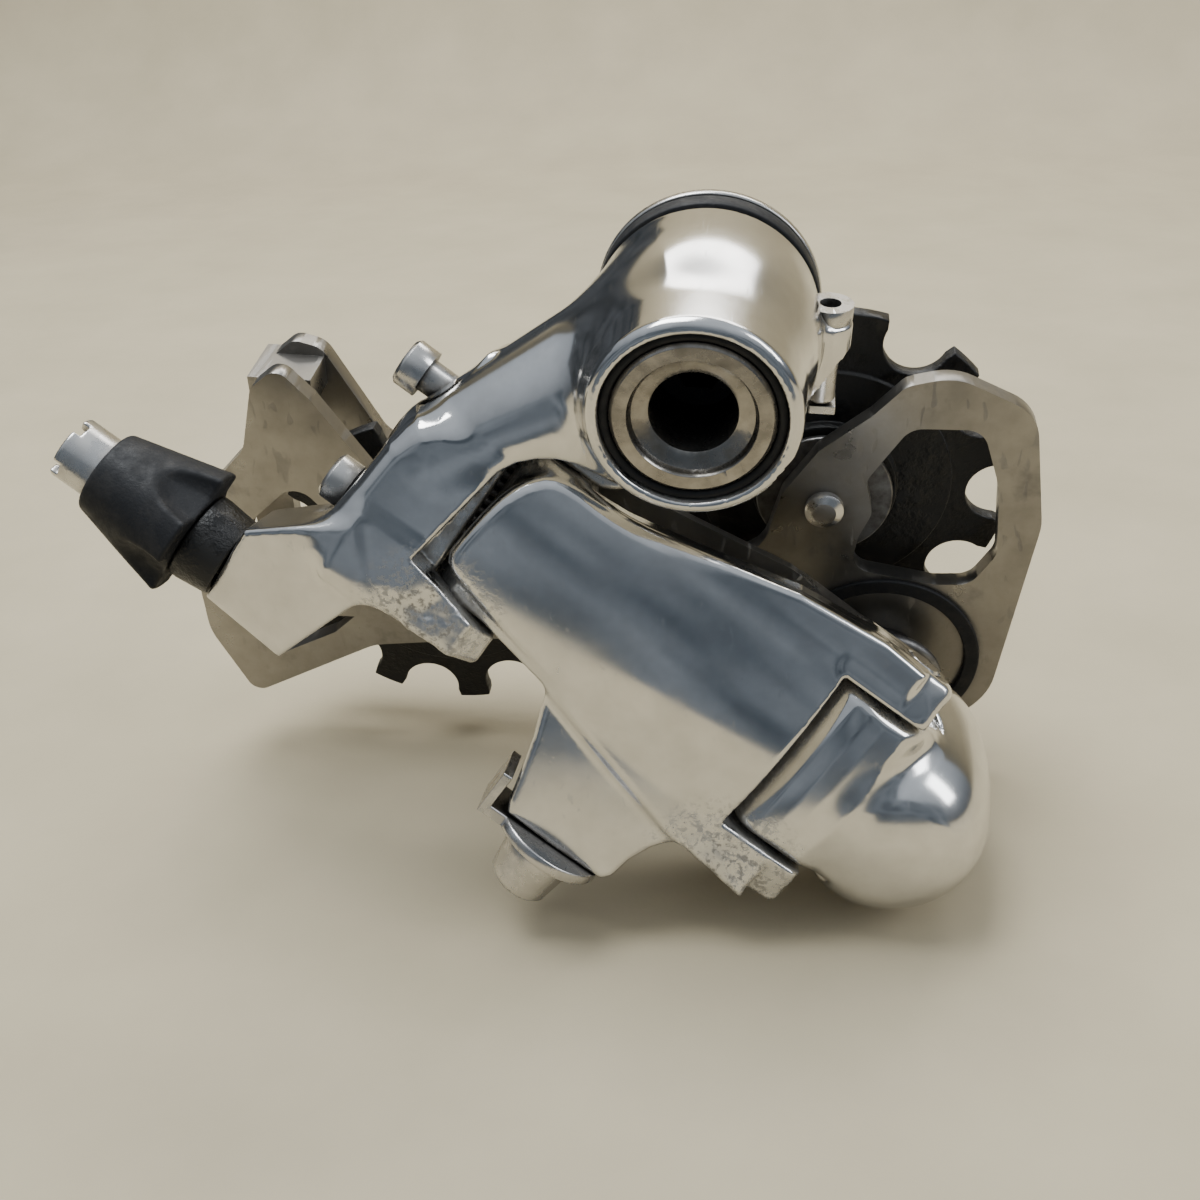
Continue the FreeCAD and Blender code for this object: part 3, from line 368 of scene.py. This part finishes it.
def bracket_knuckle(x, y, z):
    """Knuckle barrel, arm, pin ears, cable boss and tension screw lug in one forging."""
    sx, sy, sz = SIDE.seen_from(LINK, x, y, z)
    barrel = cone(sx, sy, sz, 12.6, 3.9, 11.1, 28.8, 1.1)
    branch = taper(x, y, z, (4.4, -0.2, 32.2), 11.6, (-11.8, -0.6, 6.0), 6.2)
    web = taper(x, y, z, (6.0, -0.4, 28.0), 9.6, (2.0, -0.6, 20.0), 7.4)
    spine = outline(x, z, eased([(-3, -9), (-3, 11), (-12.6, 11), (-17.3, 7), (-18.2, -5), (-19.6, -11),
                                 (-14, -14)], 1))
    arm = join(rounded(spine, within(y, -7.0, 6.2), 2.6), branch, 2.0)
    body = join(join(arm, web, 3.0), barrel, 4.0)
    body = join(body, cable_boss(x, y, z), 1.4)
    low_ear, high_ear = pin_ears(x, y, z)
    body = join(join(body, low_ear, 2.5), high_ear, 1.0)
    body = join(body, tension_lug(sx, sy, sz), 2.2)
    room, slot = link_rooms(x, y, z)
    body = less(less(body, room, 0.35), slot, 0.3)
    hollow = stepped_bore(sx, sy, sz, ((9.4, -6, 20.5), (7.72, 0, 25.5), (9.65, 24.8, 40), (20, -30, 3.9)))
    body = less(body, hollow, 0.4)
    for px, py in ((0, 0), PAIR):
        body = less(body, bore(x - px, y - py, z, PIN_R, -14, 20))
    for height in LIMIT_Z:
        body = less(body, bore(y - LIMIT_Y, z - height, x, 2.05, -30, 0))
        body = less(body, bore(y - LIMIT_Y, z - height, x, 3.2, -40, -18.5), 0.3)
    body = less(body, bore(y, z - BARREL_Z, x, 2.6, -40, -5), 0.3)
    return less(body, bore(sx - TENSION[0], sz - TENSION[1], sy, 1.65, -12, 4), 0.2)


def link_face(x, z):
    """Where the outer link's outboard face lies along y: gently crowned across the link."""
    return FACE_Y + 0.014 * (z - 2.6 + 0.02 * x) ** 2


def cable_lug(x, y, z):
    """Waisted tab below the outer link that carries the cable anchor."""
    shape = outline(x, z, [(12.6, -6), (13.7, -11), (15.4, -15.6), (16.8, -20.5), (17.6, -23.8),
                           (18.4, -25.4), (25, -25.7), (32.2, -25.6), (33.1, -24.4), (33.5, -21.4),
                           (34.6, -18.4), (36.6, -15.5), (34, -9)])
    return rounded(shape, within(y, -4.2, 3.1), 0.8)


def outer_link(x, y, z):
    """Broad cover link: crowned wall with rounded rims, hollow back, fork ears and cable lug."""
    low_run = [(34.5, -15.3), (12.5, -9.2), (1.4, -7.0)]
    edge = outline(x, z, eased([(-5.2, -5.2), (-4.7, 3.0), (-3.5, 9.0), (-0.2, 13.0), (8.9, 12.4),
                                (17.3, 14.3), (29.5, 17.4), (40.5, 18.6), (47.4, 18.7), (51.2, 13.2),
                                (51.2, -10.0), (47.4, -17.2), (41, -16.4)] + low_run))
    low_edge = -6.6 - 0.255 * (x - 1.4)
    bevel = 0.86 * (low_edge + 1.5 - z) - 0.50 * (y + 6.0)
    face = meet(link_face(x, z) - y, bevel, 0.7)
    wall = meet(meet(edge, face, 1.8), y + 3.1, 0.3)
    rim_shape = outline(x, z, [(-2.5, 8), (0.4, 11.6), (8.9, 12.3), (17.3, 14.1), (29.5, 17.2), (40.5, 18.4),
                               (46.4, 18.0), (46.4, -16.8), (41, -16.2)] + low_run + [(-2.5, -6.2)])
    rim = rounded(rim_shape, within(y, -5.0, 0.5), 0.8)
    solid = join(join(wall, rim, 0.6), cable_lug(x, y, z), 1.6)
    solid = join(solid, tube(x, y, z, 4.4, -7.1, 12.9, 0.4), 1.0)
    ear = outline(x, y, [(38, -6.6), (46.6, -6.6), (49.6, -5.0), (51.0, -1.6), (50.4, 2.4), (47.6, 4.6),
                         (38, 3.6)])
    for low, high in ((12.6, 18.1), (-16.1, -10.2)):
        solid = join(solid, meet(rounded(ear, within(z, low, high), 1.4), face, 0.7), 1.0)
    hollow = outline(x, z, [(5.2, 9.6), (17.3, 11.2), (29.5, 14.3), (36.0, 15.2), (36.0, -11.5), (29, -11.0),
                            (12.5, -6.6), (5.2, -5.0)])
    solid = less(solid, rounded(hollow, within(y, -3.2, 9), 0.6), 0.5)
    solid = less(solid, rounded(within(x, 39.0, 70) + 0 * y, within(z, *SLOT_Z), 0.1), 0.4)
    solid = less(solid, bore(x, y, z, PIN_R + 0.05, -9, 14))
    solid = less(solid, bore(x - LINK_LEN, y, z, PIN_R, -22, 22))
    dents = 0.10 * lumps(x, y, z, 0.5, 8) + 0.05 * lumps(x, y, z, 0.22, 9)
    solid = solid + dents * worn(x, y, z, FORK_CORNER, 11)
    return less(solid, bore(x - ANCHOR[0], y - ANCHOR[1], z, 2.55, -30, -14), 0.2)


def swing_knuckle(x, y, z):
    """Domed knuckle round the cage axle with the tongue that the links hold."""
    cx, cy, cz = CAGE.seen_from(LINK, x, y, z)
    dome = meet(cone(cx, cy, cz, 13.5, -1.0, 12.4, 40.0), length(cx, cy, cz - 23.0) - 15.4, 5.0)
    tongue_shape = outline(x, y, [(49.5, -6.6), (53, 0), (54, 15.5), (42.5, 15.0), (37.5, 13.0), (37.2, 9.6),
                                  (40.4, 4.4)] + arc((LINK_LEN, 0), 7.0, 175, 267, 6))
    tongue = rounded(tongue_shape, within(z, *TONGUE_Z), 1.6)
    crest = link_face(50, z) - y
    shoulder = crest - 1.1 * np.maximum(x - 48.0, 0)
    body = join(meet(dome, shoulder, 2.0), meet(tongue, crest, 3.0), 2.5)
    body = meet(body, -1.0 - cz, 0.6)
    body = less(body, stepped_bore(cx, cy, cz, ((8.8, -5, 17.5), (6.42, 0, 19.5), (5.05, 0, 23.4))), 0.3)
    ears = meet(-within(z, *TONGUE_Z), within(z, *FORK_Z))
    for px, py, room, play in ((LINK_LEN, 0, 8.1, 0.05), (LINK_LEN + PAIR[0], PAIR[1], 4.6, 0.15)):
        body = less(body, meet(length(x - px, y - py) - room, ears), 0.5)
        body = less(body, bore(x - px, y - py, z, PIN_R + play, -20, 20))
    return body


# ---------------------------------------------------------------- materials
class Nodes:
    """A material's node tree with short calls for what these materials use."""

    def __init__(self, name):
        self.material = bpy.data.materials.new(name)
        self.material.use_nodes = True
        self.tree = self.material.node_tree
        self.shader = self.tree.nodes["Principled BSDF"]
        self.where = self.add("ShaderNodeTexCoord").outputs["Object"]

    def add(self, kind, **settings):
        node = self.tree.nodes.new(kind)
        for key, value in settings.items():
            setattr(node, key, value)
        return node

    def link(self, source, target):
        self.tree.links.new(source, target)

    def stretched(self, scale, turn=(0, 0, 0)):
        """Object coordinates with their own scale along each axis."""
        mapping = self.add("ShaderNodeMapping")
        mapping.inputs["Scale"].default_value = scale
        mapping.inputs["Rotation"].default_value = turn
        self.link(self.where, mapping.inputs["Vector"])
        return mapping.outputs["Vector"]

    def noise(self, scale, detail=3.0, rough=0.55, vector=None, twist=0.0):
        node = self.add("ShaderNodeTexNoise")
        node.inputs["Scale"].default_value = scale
        node.inputs["Detail"].default_value = detail
        node.inputs["Roughness"].default_value = rough
        node.inputs["Distortion"].default_value = twist
        self.link(vector or self.where, node.inputs["Vector"])
        return node.outputs["Fac"]

    def spread(self, value, low, high, to_low=0.0, to_high=1.0):
        """Map a value's band onto another band, clamped."""
        node = self.add("ShaderNodeMapRange")
        for key, number in (("From Min", low), ("From Max", high), ("To Min", to_low), ("To Max", to_high)):
            node.inputs[key].default_value = number
        self.link(value, node.inputs["Value"])
        return node.outputs["Result"]

    def maths(self, operation, a, b):
        node = self.add("ShaderNodeMath", operation=operation)
        for socket, value in zip(node.inputs, (a, b)):
            if isinstance(value, (int, float)):
                socket.default_value = value
            else:
                self.link(value, socket)
        return node.outputs["Value"]

    def mix(self, amount, a, b):
        """Blend of two colours, each a tuple or a socket."""
        node = self.add("ShaderNodeMix", data_type="RGBA")
        self.link(amount, node.inputs["Factor"])
        for socket, value in ((node.inputs["A"], a), (node.inputs["B"], b)):
            colours = [s for s in node.inputs if s.name == socket.name and s.type == "RGBA"]
            if isinstance(value, tuple):
                colours[0].default_value = (*value, 1)
            else:
                self.link(value, colours[0])
        return [s for s in node.outputs if s.type == "RGBA"][0]

    def crevice_shade(self, reach):
        """Ambient occlusion mask for painted shade: 1 in tight corners, 0 on open surfaces."""
        node = self.add("ShaderNodeAmbientOcclusion", samples=8)
        node.inputs["Distance"].default_value = reach
        return self.spread(node.outputs["AO"], 0.35, 0.9, 1.0, 0.0)

    def bump(self, height, strength, distance):
        node = self.add("ShaderNodeBump")
        node.inputs["Strength"].default_value = strength
        node.inputs["Distance"].default_value = distance
        self.link(height, node.inputs["Height"])
        self.link(node.outputs["Normal"], self.shader.inputs["Normal"])

    def feed(self, name, source):
        self.link(source, self.shader.inputs[name])

    def set(self, name, value):
        self.shader.inputs[name].default_value = value

    def near(self, place, reach):
        """1 at a place given in link-frame mm, falling to 0 at reach mm."""
        node = self.add("ShaderNodeVectorMath", operation="DISTANCE")
        self.link(self.where, node.inputs[0])
        node.inputs[1].default_value = tuple(LINK.world(place))
        return self.spread(node.outputs["Value"], reach * 0.35 * MM, reach * MM, 1.0, 0.0)

    def scratches(self, seed, fine, threshold):
        """Long thin marks: sharp crests of noise drawn out along a turned axis."""
        vector = self.stretched((fine, fine * 0.05, fine * 0.35), (0.4 + seed, 0.9 * seed, 1.3 + 0.7 * seed))
        return self.spread(self.noise(1.0, 1.0, 0.4, vector, 0.6), threshold, threshold + 0.04)


def polished_alloy():
    """Polished forged aluminium: hazed, scratched, pitted on its knocked corners, darkened in recesses by painted
    shade with patchy soiling.
    """
    m = Nodes("polished_alloy")
    haze = m.noise(60, 4, 0.6)
    cloud = m.noise(230, 3, 0.6)
    marks = m.maths("MAXIMUM", m.scratches(0.0, 2600, 0.71), m.scratches(1.0, 1700, 0.73))
    knocked = m.maths("MAXIMUM", m.near(EAR_CORNER, 9.5), m.near((43.0, -5.0, -15.5), 11.0))
    pit = m.maths("MULTIPLY", m.spread(m.noise(1300, 4, 0.65), 0.50, 0.60), knocked)
    # Painted shade: an ambient occlusion mask, broken up by noise, makes recesses dark and less metallic; the pits
    # added below are real wear.
    shade_and_dirt = m.crevice_shade(0.0022)
    grime_and_shade = m.maths("MULTIPLY", shade_and_dirt, m.spread(m.noise(400, 4, 0.7), 0.3, 0.6))
    grime_and_shade = m.maths("MAXIMUM", grime_and_shade, m.maths("MULTIPLY", pit, 0.75))
    metal = m.mix(m.spread(cloud, 0.35, 0.75), (0.70, 0.69, 0.67), (0.60, 0.59, 0.57))
    m.feed("Base Color", m.mix(m.maths("MULTIPLY", grime_and_shade, 0.85), metal, (0.10, 0.085, 0.06)))
    m.feed("Metallic", m.spread(grime_and_shade, 0.0, 1.0, 1.0, 0.35))
    base = m.maths("ADD", m.spread(haze, 0.35, 0.7, 0.10, 0.22), m.maths("MULTIPLY", knocked, 0.12))
    rough = m.maths("ADD", base, m.maths("MULTIPLY", marks, 0.07))
    m.feed("Roughness", m.maths("ADD", rough, m.maths("MULTIPLY", grime_and_shade, 0.35)))
    height = m.maths("SUBTRACT", m.maths("MULTIPLY", cloud, 0.10), m.maths("MULTIPLY", marks, 0.15))
    m.bump(m.maths("SUBTRACT", height, m.maths("MULTIPLY", pit, 2.0)), 0.14, 0.00006)
    return m.material


def satin_alloy():
    """Anodised cage plate: satin grey with rubbed and oily patches, and painted shade in its tight corners."""
    m = Nodes("satin_alloy")
    cloud = m.noise(110, 5, 0.65)
    marks = m.scratches(2.0, 800, 0.64)
    # Painted shade: the ambient occlusion mask, broken up by noise, darkens tight corners; the oily patches on the
    # next line are real.
    shade_and_dirt = m.maths("MULTIPLY", m.crevice_shade(0.004), m.spread(m.noise(300, 4, 0.7), 0.25, 0.55))
    stain_and_shade = m.maths("MAXIMUM", shade_and_dirt, m.spread(m.noise(75, 5, 0.7), 0.56, 0.72, 0.0, 0.6))
    metal = m.mix(m.spread(cloud, 0.3, 0.7), (0.33, 0.315, 0.29), (0.25, 0.235, 0.21))
    m.feed("Base Color", m.mix(m.maths("MULTIPLY", stain_and_shade, 0.85), metal, (0.05, 0.043, 0.035)))
    m.feed("Metallic", m.spread(stain_and_shade, 0.0, 1.0, 1.0, 0.4))
    rough = m.maths("ADD", m.spread(cloud, 0.3, 0.7, 0.24, 0.42), m.maths("MULTIPLY", marks, 0.15))
    m.feed("Roughness", rough)
    m.bump(m.maths("SUBTRACT", m.maths("MULTIPLY", cloud, 0.3), m.maths("MULTIPLY", marks, 0.5)), 0.2, 0.0001)
    return m.material


def plated_steel(name, bright, dull):
    """Plated steel fasteners with turning marks, patchy soiling and painted shade in their recesses, and painted
    shade that turns deep bores black.
    """
    m = Nodes(name)
    cloud = m.noise(350, 4, 0.6)
    # Painted shade: the ambient occlusion mask, broken up by noise, darkens small recesses.
    shade_and_dirt = m.maths("MULTIPLY", m.crevice_shade(0.0015), m.spread(m.noise(700, 4, 0.7), 0.25, 0.6))
    # Painted shade: a wider ambient occlusion mask paints the inside of deep bores black.
    deep = m.spread(m.crevice_shade(0.012), 0.55, 0.95)
    metal = m.mix(m.spread(cloud, 0.3, 0.7), bright, dull)
    dirty_and_shaded = m.mix(m.maths("MULTIPLY", shade_and_dirt, 0.9), metal, (0.07, 0.055, 0.04))
    m.feed("Base Color", m.mix(deep, dirty_and_shaded, (0.012, 0.011, 0.010)))
    m.feed("Metallic", m.spread(m.maths("MAXIMUM", shade_and_dirt, deep), 0.0, 1.0, 1.0, 0.2))
    m.feed("Roughness", m.maths("ADD", m.spread(cloud, 0.3, 0.7, 0.16, 0.36), m.maths("MULTIPLY", shade_and_dirt, 0.3)))
    m.bump(m.noise(2400, 2, 0.5), 0.12, 0.00005)
    return m.material


def oily_metal(name, bright, dark, rough):
    """Hidden metal parts under a film of oil and dust."""
    m = Nodes(name)
    cloud = m.noise(420, 4, 0.65)
    m.feed("Base Color", m.mix(m.spread(cloud, 0.35, 0.7), bright, dark))
    m.set("Metallic", 0.9)
    m.feed("Roughness", m.spread(cloud, 0.3, 0.7, rough, rough + 0.25))
    m.bump(cloud, 0.2, 0.0001)
    return m.material


def black_rubber():
    """Dusty matte rubber with a fine moulded grain."""
    m = Nodes("black_rubber")
    dust = m.spread(m.noise(260, 5, 0.7), 0.5, 0.75, 0.0, 0.3)
    m.feed("Base Color", m.mix(dust, (0.007, 0.0075, 0.009), (0.055, 0.050, 0.044)))
    m.set("Specular IOR Level", 0.3)
    m.feed("Roughness", m.spread(m.noise(500, 3, 0.6), 0.3, 0.7, 0.45, 0.75))
    m.bump(m.noise(2600, 3, 0.6), 0.35, 0.00012)
    return m.material


def greasy_plastic():
    """Black pulleys: worn glossy tooth flanks under chain grease and grit."""
    m = Nodes("black_plastic")
    grease = m.spread(m.noise(180, 5, 0.7), 0.45, 0.62)
    grit = m.noise(1700, 4, 0.7)
    m.feed("Base Color", m.mix(grease, (0.012, 0.0118, 0.0115), (0.004, 0.0038, 0.0036)))
    m.feed("Roughness", m.spread(grease, 0.0, 1.0, 0.55, 0.28))
    m.set("Specular IOR Level", 0.35)
    m.bump(m.maths("ADD", m.maths("MULTIPLY", grit, 0.4), grease), 0.45, 0.0003)
    return m.material


SLOTS = {
    "polished_alloy": polished_alloy(),
    "satin_alloy": satin_alloy(),
    "bright_steel": plated_steel("bright_steel", (0.62, 0.605, 0.58), (0.48, 0.465, 0.44)),
    "dark_steel": oily_metal("dark_steel", (0.20, 0.195, 0.19), (0.08, 0.075, 0.07), 0.28),
    "bearing_bronze": oily_metal("bearing_bronze", (0.48, 0.36, 0.20), (0.22, 0.16, 0.09), 0.3),
    "black_rubber": black_rubber(),
    "black_plastic": greasy_plastic(),
}
OWN = {"mounting_bolt": plated_steel("dull_steel", (0.36, 0.34, 0.31), (0.20, 0.185, 0.16))}
SLOT_OF = {part["node"]: part["material_slot"] for part in frame["record"]["subparts"]}


# ---------------------------------------------------------------- pieces
def finish_cad_nodes():
    """Procedural materials, welded smooth meshes and softened edges on the CAD nodes."""
    for name, node in frame["nodes"].items():
        node.data.materials.clear()
        node.data.materials.append(OWN.get(name, SLOTS[SLOT_OF[name]]))
        weld = node.modifiers.new("weld", "WELD")
        weld.merge_threshold = 1e-6
        soften = node.modifiers.new("edges", "BEVEL")
        soften.width = 0.22 * MM
        soften.segments = 2
        soften.limit_method = "ANGLE"
        soften.angle_limit = math.radians(32)
        soften.use_clamp_overlap = True
        soften.harden_normals = True


def barrel_cover(x, y, z):
    """Tapered rubber grip with four deep finger scoops that open towards the knuckle."""
    s, v, w = -x, y, z - BARREL_Z
    base, scoops, first_scoop = 30.7, 4, 40
    grip = cone(v, w, s, 8.4, base, 5.2, 43.2, 0.5)
    for i in range(scoops):
        a = math.radians(360 / scoops * i + first_scoop)
        radial = v * math.cos(a) + w * math.sin(a)
        across = w * math.cos(a) - v * math.sin(a)
        scoop = (length((radial - 10.2) / 4.6, across / 4.3, (s - 31.6) / 7.6) - 1) * 4.0
        grip = less(grip, scoop, 0.5)
    grip = join(grip, tube(v, w, s, 5.9, base, 37.0, 0.2), 0.4)
    return less(grip, length(v, w) - 4.0, 0.2)


def cable_barrel(x, y, z):
    """Threaded hollow barrel whose steel tip has a notched, rolled rim."""
    s, v, w = -x, y, z - BARREL_Z
    pitch, thread_end = 0.8, 31
    thread = 0.09 * np.sin(2 * math.pi * s / pitch + np.arctan2(w, v)) * (s < thread_end)
    body = join(tube(v, w, s, 2.42, 14.5, 32.5, 0.3) - thread, tube(v, w, s, 3.95, 32.0, 48.0, 0.35))
    body = less(body, bore(v, w, s, 2.6, 40, 60), 0.3)
    body = less(body, length(v, w) - 0.8, 0.1)
    for a in (0.5, 0.5 + math.pi / 2):
        across = w * math.cos(a) - v * math.sin(a)
        body = less(body, meet(np.abs(across) - 0.9, within(s, 47.0, 60)), 0.3)
    return body


def forge_parts():
    """Sculpt the forged and moulded pieces, each within its own box of the link frame."""
    cell = 0.34
    fine = 0.55 * cell
    parts = (
        ("b_knuckle", bracket_knuckle, cell, (-27.5, -22, -28), (18, 24, 51)),
        ("outer_link", outer_link, cell, (-7, -9, -27.5), (53, 6.5, 20)),
        ("p_knuckle", swing_knuckle, cell, (31, -9, -30), (78, 46, 27)),
        ("barrel_cover", barrel_cover, fine, (-44, -9.2, -29.6), (-30, 9.2, -11.4)),
        ("cable_barrel", cable_barrel, fine, (-49, -4.4, -25), (-14, 4.4, -16)),
    )
    for node, solid, grid, low, high in parts:
        piece = sculpt(node + "_shape", solid, low, high, grid)
        stand_in(piece, node, SLOTS[SLOT_OF[node]])


# ---------------------------------------------------------------- stage
def stage_floor():
    """A wide pale sheet under the part that curves up behind it."""
    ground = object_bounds()[0][2]
    front, flat_end, bend, top, half_width = -0.9, 0.42, 0.12, 0.9, 1.2
    turns = np.linspace(0.15, math.pi / 2, 9)
    profile = [(front, 0.0), (flat_end, 0.0)]
    profile += [(flat_end + bend * math.sin(a), bend - bend * math.cos(a)) for a in turns]
    profile += [(flat_end + bend, top)]
    points = [(x, y, ground + z) for y, z in profile for x in (-half_width, half_width)]
    faces = [(2 * i, 2 * i + 1, 2 * i + 3, 2 * i + 2) for i in range(len(profile) - 1)]
    floor = new_mesh("floor", np.array(points), np.array(faces))
    m = Nodes("paper")
    cloud = m.spread(m.noise(30, 4, 0.6), 0.3, 0.7)
    m.feed("Base Color", m.mix(cloud, (0.49, 0.42, 0.285), (0.435, 0.372, 0.25)))
    m.set("Roughness", 0.85)
    m.bump(m.noise(900, 4, 0.6), 0.15, 0.0002)
    floor.data.materials.append(m.material)
    floor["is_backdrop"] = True


def add_camera():
    """The photograph's view: a near camera without roll, looking down at the outboard side."""
    azimuth, elevation = math.radians(6.90), math.radians(37.79)
    place = Vector((5.447, -150.029, 71.565))
    data = bpy.data.cameras.new("camera")
    data.sensor_width = 36
    data.lens = 42
    data.clip_start = 0.01
    camera = bpy.data.objects.new("camera", data)
    bpy.context.scene.collection.objects.link(camera)
    bike = Matrix(np.array([FORE, -OUT, UP]).T.tolist())
    aim = Matrix.Rotation(azimuth, 3, "Z") @ Matrix.Rotation(math.pi / 2 - elevation, 3, "X")
    camera.matrix_world = Matrix.Translation(bike @ place * MM) @ (bike @ aim).to_4x4()
    bpy.context.scene.camera = camera


def add_light(name, place, aim, size, power, colour=(1, 1, 1)):
    data = bpy.data.lights.new(name, "AREA")
    data.shape = "RECTANGLE"
    data.size, data.size_y = size
    data.energy = power
    data.color = colour
    light = bpy.data.objects.new(name, data)
    bpy.context.scene.collection.objects.link(light)
    light.location = place
    light.rotation_euler = (Vector(aim) - Vector(place)).to_track_quat("-Z", "Y").to_euler()


def dark_card(name, start, end, top, low, high):
    """A dim upright card seen only in reflections, that gives polished metal its contrast."""
    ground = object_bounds()[0][2]
    points = [(*start, ground), (*end, ground), (*end, ground + top), (*start, ground + top)]
    card = new_mesh(name, np.array(points), np.array([(0, 1, 2, 3)]))
    m = Nodes(name)
    m.feed("Emission Color", m.mix(m.spread(m.noise(22, 2), 0.35, 0.65), low, high))
    m.set("Emission Strength", 1.0)
    m.set("Base Color", (0, 0, 0, 1))
    m.set("Specular IOR Level", 0.0)
    card.data.materials.append(m.material)
    for ray in ("camera", "diffuse", "shadow", "transmission", "volume_scatter"):
        setattr(card, "visible_" + ray, False)
    card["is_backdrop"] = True


def room_light():
    """Soft bluish room: bright overhead, dim near the horizon."""
    world = bpy.data.worlds.new("room")
    world.use_nodes = True
    tree = world.node_tree
    where = tree.nodes.new("ShaderNodeTexCoord")
    split = tree.nodes.new("ShaderNodeSeparateXYZ")
    ramp = tree.nodes.new("ShaderNodeValToRGB")
    ramp.color_ramp.elements[0].position = 0.0
    ramp.color_ramp.elements[0].color = (0.13, 0.15, 0.18, 1)
    ramp.color_ramp.elements[1].position = 0.75
    ramp.color_ramp.elements[1].color = (0.78, 0.86, 0.96, 1)
    tree.links.new(where.outputs["Generated"], split.inputs["Vector"])
    tree.links.new(split.outputs["Z"], ramp.inputs["Fac"])
    tree.links.new(ramp.outputs["Color"], tree.nodes["Background"].inputs["Color"])
    tree.nodes["Background"].inputs["Strength"].default_value = 0.75
    bpy.context.scene.world = world


def add_lights():
    add_light("key", (-0.20, 0.05, 0.70), (0, 0, 0), (0.55, 0.40), 8, (0.95, 0.98, 1.0))
    add_light("side", (0.75, -0.15, 0.45), (0, 0, 0), (0.25, 0.5), 3.0, (0.93, 0.96, 1.0))
    add_light("back", (0.05, 0.5, 0.55), (0, 0, 0), (0.7, 0.2), 3)
    room_light()
    dark_card("front_card", (-0.22, -0.135), (0.22, -0.135), 0.11, (0.07, 0.09, 0.115), (0.24, 0.275, 0.32))
    dark_card("left_card", (-0.60, -0.05), (-0.16, 0.55), 0.30, (0.03, 0.035, 0.04), (0.10, 0.11, 0.125))


# ---------------------------------------------------------------- build
stage_floor()
forge_parts()
finish_cad_nodes()
add_camera()
add_lights()
